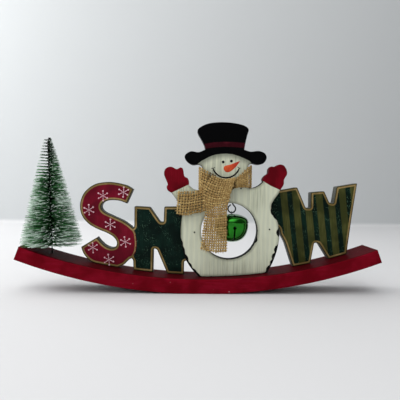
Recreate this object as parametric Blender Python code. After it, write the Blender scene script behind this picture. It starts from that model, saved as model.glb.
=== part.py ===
"""Rocking table decoration: cut-out wooden letters, a snowman with a hanging bell, and a
bottle-brush tree, all standing on a curved wooden rocker.

Frame: +X to the viewer's right, +Y to the back, +Z up. The origin is the middle of the
small flat under the rocker, on the surface that the decoration stands on.
"""

import math

import bmesh
import bpy
from mathutils import Matrix, Vector

MM = 0.001
GAP = 0.3                      # clearance between pieces that touch, in mm

# ---- driving dimensions, in mm ----
LENGTH = 370.0                 # rocker, tip to tip along its underside
DEPTH = 38.0                   # rocker, front to back
R_UNDER = 529.0                # radius of the rocker's underside
R_TOP = 533.3                  # radius of the rocker's top
ROCKER_THICK = 14.7            # at its middle
END_INSET = 4.9                # top corners stand this far inside the lower ones
STAND_HALF = 20.0              # half length of the flat under the rocker

SNOWMAN_THICK = 9.4            # snowman board
SNOWMAN_FRONT = -8.2           # its front face, on Y
SNOWMAN_BACK = SNOWMAN_FRONT + SNOWMAN_THICK
LETTER_THICK = 10.5            # letter boards, behind the snowman board
LETTER_FRONT = SNOWMAN_BACK + GAP
LETTER_BACK = LETTER_FRONT + LETTER_THICK
SNOWMAN_MID = (SNOWMAN_FRONT + SNOWMAN_BACK) / 2
LETTER_MID = (LETTER_FRONT + LETTER_BACK) / 2

HOLE_X, HOLE_Z, HOLE_R = 29.6, 62.3, 29.0     # round window in the snowman's belly

EYE_X, EYE_Z = 32.3, 85.2      # centre of the screw eye's ring
EYE_RING_R = 3.95              # to the middle of its wire
EYE_WIRE_R = 0.7
EYE_SHANK_X = EYE_X + 0.35     # the shank stands a little right of the ring's centre
EYE_SHANK_TOP = 100.0
LOOP_WIRE_R = 0.4              # the bell's wire loop
LOOP_R = 1.5
LOOP_LEG = 2.2                 # its legs reach this far below the bell's top wall
LOOP_SLOT = 6.0                # length of the slot that the legs pass through
LOOP_Z = EYE_Z - EYE_RING_R    # the loop hooks round the bottom of the eye

BELL_R = 17.3
BELL_WALL = 0.7
BELL_TOP, BELL_SEAM, BELL_BOTTOM = 80.2, 72.0, 51.0
BELL_BULGE_Z = 70.0            # the lower shell is widest here
BELL_FULLNESS = 2.4            # 2 is an ellipse; more is fuller
BELL_RIM = 0.5                 # the rolled rim stands this far out
BELL_CAP_INSET = 0.2           # the upper shell is this much smaller
BELL_SLOT = 1.6                # width of the slots across the bottom
BELL_EYELET_R = 1.7            # round end of each slot
BELL_EYELET_Z = 66.8
BELL_TURN = math.radians(5.5)  # the bell hangs turned a little about its own axis
PELLET_R = 3.0
# the pellet rolls about the centre of curvature of an ellipse as wide and deep as the lower shell
PELLET_PIVOT_Z = (BELL_BOTTOM + BELL_WALL
                  + (BELL_R - BELL_WALL) ** 2 / (BELL_BULGE_Z - BELL_BOTTOM - BELL_WALL))

TREE_FOOT_X, TREE_TIP_X = -153.0, -157.6
TREE_TIP_Z = 156.5
STEM_R = 1.0
BRISTLE_TIERS = 12
BRISTLE_SPREAD = 31.2          # radius of the lowest tier
BRISTLE_TAPER = 0.72           # 1 is a straight cone; less is rounder
BRISTLE_RISE = 0.27            # a tier's rim is higher than its root by this share of its radius
BRISTLE_THICK = 0.9
BRISTLE_CORE_R = 2.2
BRISTLE_FOOT_Z, BRISTLE_LOW_Z = 39.4, 49.0

SCREW_XS_LETTERS = (-97.0, -59.0, -25.0, 109.0, 147.0)
SCREW_XS_SNOWMAN = (14.0, 50.0)
SCREW_R, SCREW_HEAD_R, SCREW_LENGTH = 1.3, 3.0, 22.0
SCREW_HEAD_H = 2.0
SCREW_EDGE_H = 0.4             # straight edge of the head, below its cone
SCREW_POINT = 2.5
SCREW_SUNK = 0.5               # the heads sit this far inside the rocker
SCREW_MOUTH = 6.0              # length of the cutter that opens the hole below a head

BRADS = ((-6.1, 60.9, 15.5), (71.1, 64.7, 15.5), (40.9, 106.5, 7.5))   # x, z, length
BRAD_R, BRAD_HEAD_R, BRAD_HEAD_H = 0.55, 0.85, 0.3

SCARF_CLOTH = 1.4              # cloth of the hanging tails
TAIL_Y = -24.0                 # middle of the front tail, clear in front of the bell

ROUND = 64                     # sides of the large circles


# ---- general helpers ----
def clear_scene():
    for obj in list(bpy.data.objects):
        bpy.data.objects.remove(obj, do_unlink=True)


def material(name, colour, roughness, metallic=0.0):
    mat = bpy.data.materials.new(name)
    mat.use_nodes = True
    shader = mat.node_tree.nodes["Principled BSDF"]
    shader.inputs["Base Color"].default_value = (*colour, 1.0)
    shader.inputs["Roughness"].default_value = roughness
    shader.inputs["Metallic"].default_value = metallic
    mat.diffuse_color = (*colour, 1.0)
    return mat


def new_object(name, bm, mat=None, round_shaded=False):
    """Turns a bmesh in mm into an object in metres."""
    bmesh.ops.remove_doubles(bm, verts=bm.verts, dist=0.001)
    bmesh.ops.recalc_face_normals(bm, faces=bm.faces)
    bmesh.ops.scale(bm, vec=(MM, MM, MM), verts=bm.verts)
    mesh = bpy.data.meshes.new(name)
    bm.to_mesh(mesh)
    bm.free()
    if round_shaded:
        mesh.shade_smooth()
        mesh.set_sharp_from_angle(angle=math.radians(40))
    if mat:
        mesh.materials.append(mat)
    obj = bpy.data.objects.new(name, mesh)
    bpy.context.scene.collection.objects.link(obj)
    return obj


def empty(name, x, y, z, parent=None):
    """A pivot: its place is the joint's axis, in mm."""
    pivot = bpy.data.objects.new(name, None)
    bpy.context.scene.collection.objects.link(pivot)
    pivot.matrix_world = Matrix.Translation(Vector((x, y, z)) * MM)
    if parent:
        attach(pivot, parent)
    return pivot


def attach(child, parent):
    bpy.context.view_layer.update()
    child.parent = parent
    child.matrix_parent_inverse = parent.matrix_world.inverted()


def boolean(obj, tool, operation):
    """Adds an exact Boolean and hides its tool."""
    mod = obj.modifiers.new(operation.lower(), "BOOLEAN")
    mod.operation = operation
    mod.solver = "EXACT"
    mod.object = tool
    tool.hide_render = True
    tool.display_type = "WIRE"


# ---- outlines in the X-Z plane ----
def smooth(points, steps=4):
    """Points on a smooth curve through the given ones, both ends included."""
    out = []
    last = len(points) - 1
    for i in range(last):
        p0, p1 = Vector(points[max(i - 1, 0)]), Vector(points[i])
        p2, p3 = Vector(points[i + 1]), Vector(points[min(i + 2, last)])
        for k in range(steps):
            t = k / steps
            out.append(0.5 * (2 * p1 + (p2 - p0) * t + (2 * p0 - 5 * p1 + 4 * p2 - p3) * t * t
                              + (3 * p1 - p0 - 3 * p2 + p3) * t ** 3))
    out.append(Vector(points[-1]))
    return out


def fillet(before, corner, after, radius, steps=4):
    """Round corner between two straight edges, as a short arc-like curve."""
    corner = Vector(corner)
    a = corner + (Vector(before) - corner).normalized() * radius
    b = corner + (Vector(after) - corner).normalized() * radius
    return [a * (1 - t) ** 2 + corner * 2 * t * (1 - t) + b * t * t
            for t in (k / steps for k in range(steps + 1))]


def rounded(points, radius):
    """An open run of straight edges whose inner corners are rounded."""
    out = [Vector(points[0])]
    for i in range(1, len(points) - 1):
        out += fillet(points[i - 1], points[i], points[i + 1], radius)
    out.append(Vector(points[-1]))
    return out


def rocker_top(x):
    return ROCKER_THICK + R_TOP - math.sqrt(R_TOP ** 2 - x * x)


def foot(x_from, x_to, steps=6):
    """The bottom edge of a board, which follows the rocker's top."""
    xs = [x_from + (x_to - x_from) * k / steps for k in range(steps + 1)]
    return [Vector((x, rocker_top(x) + GAP)) for x in xs]


def arc(cx, cz, radius, start, end, steps):
    """Points on an arc; angles in degrees from +X towards +Z."""
    angles = [math.radians(start + (end - start) * k / steps) for k in range(steps + 1)]
    return [Vector((cx + radius * math.cos(a), cz + radius * math.sin(a))) for a in angles]


def board(name, outline, y_front, y_back, mat=None):
    """A flat board: an outline in X-Z with a thickness on Y."""
    bm = bmesh.new()
    ring = []
    for p in outline:
        if not ring or (ring[-1].co.xz - p).length > 0.02:
            ring.append(bm.verts.new((p.x, y_front, p.y)))
    if (ring[0].co - ring[-1].co).length < 0.02:
        bm.verts.remove(ring.pop())
    face = bm.faces.new(ring)
    back = bmesh.ops.extrude_face_region(bm, geom=[face])
    moved = [v for v in back["geom"] if isinstance(v, bmesh.types.BMVert)]
    bmesh.ops.translate(bm, vec=(0, y_back - y_front, 0), verts=moved)
    caps = [f for f in bm.faces if len(f.verts) > 4]
    bmesh.ops.triangulate(bm, faces=caps, ngon_method="EAR_CLIP")
    return new_object(name, bm, mat)


# ---- turned and bent shapes ----
def turned(name, profile, centre, axis="Z", sides=24, mat=None):
    """A closed profile of (radius, height) turned about an axis through centre."""
    bm = bmesh.new()
    rings = []
    for radius, height in profile:
        if radius < 1e-6:
            rings.append([bm.verts.new((0, 0, height))])
            continue
        rings.append([bm.verts.new((radius * math.cos(2 * math.pi * k / sides),
                                    radius * math.sin(2 * math.pi * k / sides), height))
                      for k in range(sides)])
    closed = profile[0][0] > 1e-6 and profile[-1][0] > 1e-6
    pairs = list(zip(rings, rings[1:] + rings[:1])) if closed else list(zip(rings, rings[1:]))
    for low, high in pairs:
        for k in range(sides):
            n = (k + 1) % sides
            corners = [low[k % len(low)], low[n % len(low)], high[n % len(high)], high[k % len(high)]]
            unique = list(dict.fromkeys(corners))
            if len(unique) > 2:
                bm.faces.new(unique)
    if axis == "Y":
        bmesh.ops.rotate(bm, matrix=Matrix.Rotation(-math.pi / 2, 3, "X"), verts=bm.verts)
    bmesh.ops.translate(bm, vec=centre, verts=bm.verts)
    return new_object(name, bm, mat, round_shaded=True)


def rod(name, x, y, z, radius, length, axis, sides=16, mat=None):
    """A straight rod from (x, y, z) along +Y or +Z."""
    return turned(name, [(0, 0), (radius, 0), (radius, length), (0, length)], (x, y, z), axis, sides, mat)


def wire(name, points, radius, mat, resolution=2):
    """A round wire bent along the given points, in mm."""
    data = bpy.data.curves.new(name, "CURVE")
    data.dimensions = "3D"
    data.bevel_depth = radius * MM
    data.bevel_resolution = resolution
    data.use_fill_caps = True
    spline = data.splines.new("POLY")
    spline.points.add(len(points) - 1)
    for target, p in zip(spline.points, points):
        target.co = (p[0] * MM, p[1] * MM, p[2] * MM, 1.0)
    data.materials.append(mat)
    obj = bpy.data.objects.new(name, data)
    bpy.context.scene.collection.objects.link(obj)
    return obj


def ribbon(name, rows, mat=None):
    """A closed sheet with thickness. Each row is its four corners: front and back of one
    edge, then back and front of the other."""
    bm = bmesh.new()
    rings = [[bm.verts.new(p) for p in row] for row in rows]
    for a, b in zip(rings, rings[1:]):
        for k in range(4):
            n = (k + 1) % 4
            bm.faces.new((a[k], a[n], b[n], b[k]))
    bm.faces.new(rings[0])
    bm.faces.new(list(reversed(rings[-1])))
    return new_object(name, bm, mat)


# ---- the wooden pieces ----
def rocker_base(mat):
    """The curved base: two arcs, slanting ends, and a small flat to stand on."""
    drop = R_UNDER - math.sqrt(R_UNDER ** 2 - STAND_HALF ** 2)
    half = math.degrees(math.asin(LENGTH / 2 / R_UNDER))
    flat = math.degrees(math.asin(STAND_HALF / R_UNDER))
    top = math.degrees(math.asin((LENGTH / 2 - END_INSET) / R_TOP))
    under = R_UNDER - drop
    outline = arc(0, under, R_UNDER, -90 - half, -90 - flat, 16)
    outline += arc(0, under, R_UNDER, -90 + flat, -90 + half, 16)
    outline += arc(0, ROCKER_THICK + R_TOP, R_TOP, -90 + top, -90 - top, 36)
    return board("rocker_base", outline, -DEPTH / 2, DEPTH / 2, mat)


def snowman_outline():
    right_side = smooth([(69.8, rocker_top(69.8) + GAP), (73.8, 27.2), (76.6, 33.6), (79.6, 43.2),
                         (81.6, 55.8), (81.0, 66.5), (78.6, 75.8), (74.4, 82.0), (72.7, 89.0),
                         (75.4, 95.2), (79.5, 100.9), (81.6, 105.1)], 3)
    right_mitten = smooth([(81.6, 105.1), (85.1, 111.1), (85.5, 116.2), (88.4, 121.7), (87.7, 126.7),
                           (84.7, 130.8), (80.1, 131.7), (75.5, 129.3), (71.8, 129.5), (69.1, 126.7),
                           (68.5, 122.1), (65.6, 120.0), (63.1, 116.6), (63.6, 113.4)], 3)
    right_neck = smooth([(63.6, 113.4), (59.7, 110.0), (54.5, 107.6), (49.0, 107.0)])
    head_right = [Vector(p) for p in ((48.0, 108.0), (48.0, 129.5))]
    right_brim = smooth([(48.6, 130.6), (52.0, 132.0), (58.0, 130.9), (64.0, 132.6), (67.0, 138.2),
                         (64.6, 143.2), (58.2, 145.2), (50.4, 144.4), (43.8, 146.2)], 3)
    crown = smooth([(43.8, 146.2), (45.0, 153.6), (46.6, 160.9), (47.9, 167.0), (43.2, 170.8),
                    (33.0, 173.1), (20.0, 173.8), (7.0, 172.3), (-2.2, 168.0), (-4.4, 163.6),
                    (-0.6, 156.0), (2.4, 150.5), (3.7, 145.8)], 3)
    left_brim = smooth([(3.7, 145.8), (-3.0, 143.0), (-10.3, 143.8), (-15.6, 141.2), (-17.3, 137.4),
                        (-14.2, 132.6), (-8.7, 129.6), (-3.0, 130.2), (0.2, 129.0)], 3)
    head_left = [Vector(p) for p in ((1.4, 126.0), (1.4, 106.0))]
    left_shoulder = smooth([(0.0, 104.6), (-4.5, 104.4), (-8.3, 105.8), (-12.2, 109.0)])
    left_mitten = smooth([(-12.2, 109.0), (-12.3, 112.9), (-13.8, 116.3), (-16.9, 118.1), (-17.9, 121.9),
                          (-18.8, 126.0), (-21.4, 127.1), (-25.2, 125.4), (-29.6, 127.5),
                          (-33.6, 127.4), (-37.1, 124.8), (-38.0, 119.8), (-35.6, 113.5),
                          (-34.2, 109.7), (-35.3, 106.9), (-33.8, 103.1), (-30.2, 101.0)], 3)
    left_side = smooth([(-30.2, 101.0), (-24.6, 93.5), (-20.6, 87.0), (-19.6, 80.6), (-20.4, 73.0),
                        (-20.5, 62.0), (-19.6, 50.0), (-16.4, 37.0), (-12.9, 29.2), (-7.0, 21.0),
                        (-0.8, rocker_top(-0.8) + GAP)], 3)
    return (right_side + right_mitten + right_neck + head_right + right_brim + crown + left_brim
            + head_left + left_shoulder + left_mitten + left_side + foot(-0.8, 69.8, 12))


def snowman_board(mat):
    snowman = board("snowman_board", snowman_outline(), SNOWMAN_FRONT, SNOWMAN_BACK, mat)
    window = rod("window_cutter", HOLE_X, SNOWMAN_FRONT - 2, HOLE_Z, HOLE_R, SNOWMAN_THICK + 4, "Y", ROUND)
    boolean(snowman, window, "DIFFERENCE")
    pilot_z = HOLE_Z + HOLE_R - 3
    pilot = rod("eye_pilot_cutter", EYE_SHANK_X, SNOWMAN_MID, pilot_z, EYE_WIRE_R + GAP,
                EYE_SHANK_TOP + GAP - pilot_z, "Z")
    boolean(snowman, pilot, "DIFFERENCE")
    return snowman


def letter_board_sn(mat):
    """S and N, cut from one board, with a tab that the snowman's left side is nailed to."""
    s_top = smooth([(-70.2, 104.0), (-77.4, 108.2), (-88.4, 110.8), (-97.8, 111.3), (-109.9, 108.9),
                    (-119.9, 101.4), (-124.6, 92.0), (-125.2, 82.6), (-122.2, 73.9), (-115.0, 66.4),
                    (-106.0, 61.6), (-97.3, 58.1), (-90.4, 53.8), (-87.0, 48.4), (-88.2, 43.8),
                    (-92.6, 42.4), (-98.2, 44.3), (-103.4, 48.7), (-107.4, 53.6)], 3)
    s_foot = smooth([(-124.0, 43.2), (-121.4, 36.2), (-116.0, 29.8),
                     (-110.6, rocker_top(-110.6) + GAP)], 3)
    s_right = smooth([(-86.0, rocker_top(-86.0) + GAP), (-79.4, 24.8), (-76.0, 28.1), (-73.0, 30.9),
                      (-71.2, 31.4)], 3)
    n_left = rounded([(-70.0, 29.6), (-69.4, rocker_top(-69.4) + GAP)], 1)
    n_arch = rounded([(-48.9, rocker_top(-48.9) + GAP), (-48.6, 42.2), (-45.2, 41.6),
                      (-34.2, rocker_top(-34.2) + GAP)], 1.6)
    n_tab = rounded([(-16.4, rocker_top(-16.4) + GAP), (-16.3, 29.0), (-3.5, 32.0), (-3.5, 70.0),
                     (-16.3, 73.0), (-16.3, 86.6), (-38.0, 86.3), (-38.4, 70.2), (-41.8, 70.2),
                     (-52.6, 85.7), (-69.0, 86.5), (-69.0, 64.6), (-70.4, 63.5)], 1.2)
    s_middle = smooth([(-70.4, 63.5), (-73.8, 66.6), (-80.8, 71.2), (-91.0, 75.8), (-100.4, 80.4),
                       (-103.4, 85.3), (-100.8, 90.0), (-93.6, 92.2), (-84.6, 91.8), (-76.8, 89.0)])
    outline = (s_top + s_foot + foot(-110.6, -86.0) + s_right + n_left + foot(-69.4, -48.9) + n_arch
               + foot(-34.2, -16.4) + n_tab + s_middle)
    return board("letter_board_sn", outline, LETTER_FRONT, LETTER_BACK, mat)


def letter_board_w(mat):
    """W, with a tab that the snowman's right side is nailed to."""
    top = rounded([(64.5, 97.0), (76.0, 103.8), (101.8, 108.7), (111.4, 86.8), (116.5, 86.8),
                   (116.2, 103.4), (130.7, 104.9), (136.6, 92.6), (140.9, 92.0), (143.6, 109.8),
                   (165.8, 113.8), (160.9, 78.0), (156.4, rocker_top(156.4) + GAP)], 1.4)
    arch = rounded([(136.8, rocker_top(136.8) + GAP), (126.2, 49.3), (121.4, 50.0),
                    (117.8, rocker_top(117.8) + GAP)], 1.6)
    tab = rounded([(98.9, rocker_top(98.9) + GAP), (95.9, 32.4), (90.1, 49.7), (85.0, 58.6),
                   (83.4, 65.2), (79.8, 67.6), (77.0, 59.6), (64.5, 59.0), (64.5, 97.0)], 1.4)
    outline = top + foot(156.4, 136.8) + arch + foot(117.8, 98.9) + tab
    return board("letter_board_w", outline, LETTER_FRONT, LETTER_BACK, mat)


# ---- fasteners ----
def rocker_under(x):
    return R_UNDER - math.sqrt(R_UNDER ** 2 - x * x)


def screw_profile(margin):
    """Countersunk wood screw, point up; margin widens it for the hole that it sits in."""
    r, head = SCREW_R + margin, SCREW_HEAD_R + margin
    tip = SCREW_LENGTH + margin
    return [(0, -margin), (head, -margin), (head, SCREW_EDGE_H), (r, SCREW_HEAD_H), (r, tip - SCREW_POINT),
            (0, tip)]


def screw_places():
    for x in SCREW_XS_LETTERS:
        yield x, LETTER_MID
    for x in SCREW_XS_SNOWMAN:
        yield x, SNOWMAN_MID


def screw_height(x):
    """The head sits just inside the sloping underside."""
    return rocker_under(abs(x) + SCREW_HEAD_R) + SCREW_SUNK


def base_screws(mat, drilled):
    """Seven screws up through the rocker; each one's hole is cut from the boards."""
    for i, (x, y) in enumerate(screw_places(), 1):
        z = screw_height(x)
        turned(f"base_screw_{i}", screw_profile(0), (x, y, z), "Z", 12, mat)
        hole = turned(f"screw_hole_cutter_{i}", screw_profile(GAP), (x, y, z), "Z", 12)
        mouth = rod(f"screw_mouth_cutter_{i}", x, y, z - SCREW_MOUTH, SCREW_HEAD_R + GAP, SCREW_MOUTH - 0.1,
                    "Z", 12)
        for target in drilled:
            boolean(target, hole, "DIFFERENCE")
        boolean(drilled[0], mouth, "DIFFERENCE")


def brad_nails(mat, drilled):
    """Thin nails through the snowman board; each one's hole is cut from the boards."""
    for i, (x, z, length) in enumerate(BRADS, 1):
        head_y = SNOWMAN_FRONT - GAP - BRAD_HEAD_H
        profile = [(0, 0), (BRAD_HEAD_R, 0), (BRAD_HEAD_R, BRAD_HEAD_H), (BRAD_R, BRAD_HEAD_H + 0.01),
                   (BRAD_R, length - 1), (0, length)]
        turned(f"brad_nail_{i}", profile, (x, head_y, z), "Y", 12, mat)
        hole = rod(f"brad_hole_cutter_{i}", x, head_y, z, BRAD_R + GAP, length + GAP, "Y", 12)
        for target in drilled:
            boolean(target, hole, "DIFFERENCE")


# ---- the hanging bell ----
def screw_eye(mat):
    """A wire ring with a shank; the ring is open by a hair below the wood."""
    shank = EYE_SHANK_X - EYE_X
    run = [(shank, EYE_SHANK_TOP - EYE_Z), (shank, 9.0), (shank, 6.8), (0.9, 5.2)]
    run += [(p.x, p.y) for p in arc(0, 0, EYE_RING_R, 55, -235, 22)]
    run += [(-1.1, 4.5)]
    return wire("screw_eye", [(EYE_X + x, SNOWMAN_MID, EYE_Z + z) for x, z in run], EYE_WIRE_R, mat)


def bell_loop(mat):
    """A wire hoop over the bottom of the eye, with two legs that spread inside the bell."""
    legs = LOOP_Z - BELL_TOP + BELL_WALL + LOOP_LEG
    side = [(LOOP_R + 1.0, -legs - 0.5), (LOOP_R + 0.3, -legs), (LOOP_R, -legs + 0.9), (LOOP_R, -0.8)]
    hoop = [(p.x, p.y) for p in arc(0, 0, LOOP_R, 0, 180, 10)]
    run = side + hoop + [(-a, b) for a, b in reversed(side)]
    return wire("bell_loop", [(EYE_X, SNOWMAN_MID + a, LOOP_Z + b) for a, b in run], LOOP_WIRE_R, mat)


def dome(radius, height, base, steps, upward, fullness=2.0):
    """Points from the rim to the pole of half an ellipse, or of a fuller curve."""
    sign = 1 if upward else -1
    power = 2 / fullness
    angles = [math.pi / 2 * k / steps for k in range(steps)]
    points = [(radius * math.cos(a) ** power, base + sign * height * math.sin(a) ** power) for a in angles]
    return points + [(0.0, base + sign * height)]


def bell_top_shell(mat):
    """The shallow upper half, with a slot for the loop's legs."""
    base, rise = BELL_SEAM + GAP, BELL_TOP - BELL_SEAM - GAP
    radius = BELL_R - BELL_CAP_INSET
    outer = dome(radius, rise, base, 6, True)
    inner = dome(radius - BELL_WALL, rise - BELL_WALL, base, 6, True)
    shell = turned("bell_top_shell", inner[::-1] + outer, (EYE_X, SNOWMAN_MID, 0), "Z", 32, mat)
    bm = bmesh.new()
    bmesh.ops.create_cube(bm, size=1.0)
    bmesh.ops.scale(bm, vec=(2 * (LOOP_WIRE_R + GAP + 0.15), LOOP_SLOT, LOOP_SLOT), verts=bm.verts)
    bmesh.ops.translate(bm, vec=(EYE_X, SNOWMAN_MID, BELL_TOP), verts=bm.verts)
    boolean(shell, new_object("loop_slot_cutter", bm), "DIFFERENCE")
    return shell


def bell_bottom_shell(mat):
    """The deep lower half: a rolled rim, and two crossed slots that end in round eyelets."""
    depth = BELL_BULGE_Z - BELL_BOTTOM
    rim = BELL_R + BELL_RIM
    outer = [(BELL_R - 0.1, BELL_SEAM), (rim - 0.05, BELL_SEAM), (rim, BELL_SEAM - 0.7),
             (BELL_R + 0.05, BELL_SEAM - 1.1)]
    outer += dome(BELL_R, depth, BELL_BULGE_Z, 10, False, BELL_FULLNESS)
    inner = [(BELL_R - BELL_WALL, BELL_SEAM)]
    inner += dome(BELL_R - BELL_WALL, depth - BELL_WALL, BELL_BULGE_Z, 10, False, BELL_FULLNESS)
    shell = turned("bell_bottom_shell", inner[::-1] + outer, (EYE_X, SNOWMAN_MID, 0), "Z", 32, mat)
    for i in range(2):
        shape = rounded_slot(BELL_EYELET_Z, BELL_BOTTOM - 2, i)
        boolean(shell, shape, "DIFFERENCE")
    return shell


def rounded_slot(top, bottom, turn):
    """Cutter for one slot across the bottom and its two eyelets, as a keyhole drawn through."""
    half = BELL_SLOT / 2
    side = math.degrees(math.asin(half / BELL_EYELET_R))
    keyhole = arc(0, top, BELL_EYELET_R, -90 + side, 270 - side, 14)
    keyhole += [Vector((-half, bottom)), Vector((half, bottom))]
    cutter = board(f"bell_slot_cutter_{turn}", keyhole, -BELL_R - 4, BELL_R + 4)
    cutter.matrix_world = (Matrix.Translation(Vector((EYE_X, SNOWMAN_MID, 0)) * MM)
                           @ Matrix.Rotation(BELL_TURN + turn * math.pi / 2, 4, "Z"))
    return cutter


def bell_pellet(mat):
    """The loose steel ball that rings the bell, lying on the bottom."""
    centre_z = BELL_BOTTOM + BELL_WALL + PELLET_R + 0.5
    profile = [(PELLET_R * math.sin(a), -PELLET_R * math.cos(a)) for a in
               (math.pi * k / 8 for k in range(9))]
    profile[0], profile[-1] = (0, -PELLET_R), (0, PELLET_R)
    return turned("bell_pellet", profile, (EYE_X, SNOWMAN_MID, centre_z), "Z", 16, mat)


# ---- the burlap scarf ----
def neck_wrap():
    """The turn round the neck: high at the sides and back, low under the chin."""
    x0, x1 = -2.4, 51.8
    y0, y1 = SNOWMAN_FRONT - 4.6, SNOWMAN_BACK + 3.6
    wall, corner = 3.2, 4.0
    centre = ((x0 + x1) / 2, (y0 + y1) / 2)
    outer = []
    for cx, cy, start in ((x1 - corner, y1 - corner, 0), (x0 + corner, y1 - corner, 90),
                          (x0 + corner, y0 + corner, 180), (x1 - corner, y0 + corner, 270)):
        outer += arc(cx, cy, corner, start, start + 90, 4)
    front = [Vector((x0 + corner + (x1 - x0 - 2 * corner) * k / 10, y0)) for k in range(1, 10)]
    outer = outer[:15] + front + outer[15:]
    bm = bmesh.new()
    rings = []
    for p in outer:
        inward = Vector((max(min(p.x, x1 - corner), x0 + corner), max(min(p.y, y1 - corner), y0 + corner)))
        direction = (inward - p).normalized() if (inward - p).length > 1e-6 else Vector((0, 1))
        q = p + direction * wall
        dip = max(0.0, 1 - abs(p.x - centre[0]) / 21.0) if p.y < centre[1] else 0.0
        top = 127.5 + 1.5 * (p.x - centre[0]) / 27 - 12.5 * math.sin(dip * math.pi / 2)
        low = 107.8 - 3.0 * dip
        rings.append([bm.verts.new(v) for v in ((p.x, p.y, low), (q.x, q.y, low),
                                                (q.x, q.y, top), (p.x, p.y, top))])
    for a, b in zip(rings, rings[1:] + rings[:1]):
        for k in range(4):
            n = (k + 1) % 4
            bm.faces.new((a[k], a[n], b[n], b[k]))
    return bm


def cloth_rows(path, edges):
    """Rows for a ribbon: path gives the depth and thickness, edges the two edge points."""
    for (y, thick), ((xa, za), (xb, zb)) in zip(path, edges):
        yield [(xa, y - thick / 2, za), (xa, y + thick / 2, za), (xb, y + thick / 2, zb),
               (xb, y - thick / 2, zb)]


def burlap_scarf(mat):
    """One strip of burlap: round the neck, crossed in front, with a side and a front tail."""
    scarf = new_object("burlap_scarf", neck_wrap(), mat)
    bm = bmesh.new()
    bmesh.ops.create_uvsphere(bm, u_segments=16, v_segments=10, radius=1.0)
    bmesh.ops.scale(bm, vec=(13.5, 6.6, 14.5), verts=bm.verts)
    bmesh.ops.translate(bm, vec=(15.0, -16.0, 102.5), verts=bm.verts)
    knot = new_object("knot_shape", bm)
    side_path = [(-16.0, 3.0), (-13.6, 2.4), (-11.4, 2.0), (-10.4, SCARF_CLOTH), (-10.4, SCARF_CLOTH),
                 (-10.8, SCARF_CLOTH)]
    side_edges = [((14.0, 108.0), (16.0, 84.0)), ((6.0, 108.0), (8.0, 80.6)), ((-3.0, 106.0), (-1.0, 80.0)),
                  ((-12.0, 103.9), (-9.0, 79.7)), ((-19.0, 102.6), (-16.0, 79.8)),
                  ((-23.4, 101.2), (-22.6, 80.0))]
    side = ribbon("side_tail_shape", list(cloth_rows(side_path, side_edges)))
    front_path = [(-17.0, 4.0), (-20.4, 2.6), (-23.2, 1.8), (TAIL_Y, SCARF_CLOTH), (TAIL_Y, SCARF_CLOTH),
                  (TAIL_Y, SCARF_CLOTH), (TAIL_Y, SCARF_CLOTH)]
    front_edges = [((6.0, 104.0), (26.0, 104.0)), ((4.8, 96.0), (27.6, 96.0)), ((4.2, 88.0), (26.4, 88.0)),
                   ((3.4, 78.0), (25.6, 78.0)), ((1.8, 64.0), (25.8, 64.0)), ((0.8, 52.0), (25.6, 52.0)),
                   ((-0.2, 41.0), (25.2, 41.0))]
    front = ribbon("front_tail_shape", list(cloth_rows(front_path, front_edges)))
    for shape in (knot, side, front):
        boolean(scarf, shape, "UNION")
    return scarf


# ---- the bottle-brush tree ----
def tree_axis_x(z):
    foot_z = rocker_top(TREE_FOOT_X)
    return TREE_FOOT_X + (TREE_TIP_X - TREE_FOOT_X) * (z - foot_z) / (TREE_TIP_Z - foot_z)


def tree_wire_stem(mat, rocker):
    """The twisted wire: its foot stands in a hole in the rocker."""
    foot_z, top_z = rocker_top(TREE_FOOT_X) - 9, TREE_TIP_Z - 4
    points = [(tree_axis_x(z), 0, z) for z in (foot_z, (foot_z + top_z) / 2, top_z)]
    stem = wire("tree_wire_stem", points, STEM_R, mat, 2)
    lean = math.atan2(TREE_TIP_X - TREE_FOOT_X, TREE_TIP_Z - rocker_top(TREE_FOOT_X))
    hole = rod("stem_hole_cutter", 0, 0, -9.5, STEM_R + GAP, 20, "Z")
    hole.matrix_world = (Matrix.Translation(Vector((TREE_FOOT_X, 0, rocker_top(TREE_FOOT_X))) * MM)
                         @ Matrix.Rotation(lean, 4, "Y"))
    boolean(rocker, hole, "DIFFERENCE")
    return stem


def tree_bristles(mat):
    """Thin tiers of bristles on a sleeve round the stem, wide at the foot."""
    inner, top = STEM_R + GAP, TREE_TIP_Z - 1.5
    profile = [(inner, BRISTLE_FOOT_Z), (BRISTLE_CORE_R, BRISTLE_FOOT_Z)]
    for k in range(BRISTLE_TIERS):
        t = k / BRISTLE_TIERS
        radius = BRISTLE_SPREAD * (1 - t) ** BRISTLE_TAPER
        z = BRISTLE_LOW_Z + (TREE_TIP_Z - BRISTLE_LOW_Z) * t
        root = z - BRISTLE_RISE * radius
        profile += [(BRISTLE_CORE_R, root), (radius, z), (radius, z + BRISTLE_THICK),
                    (BRISTLE_CORE_R, root + 2 * BRISTLE_THICK)]
    profile += [(BRISTLE_CORE_R, top), (inner, top)]
    brush = turned("tree_bristles", profile, (0, 0, 0), "Z", 20, mat)
    for vert in brush.data.vertices:
        vert.co.x += tree_axis_x(vert.co.z / MM) * MM
    return brush


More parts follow.
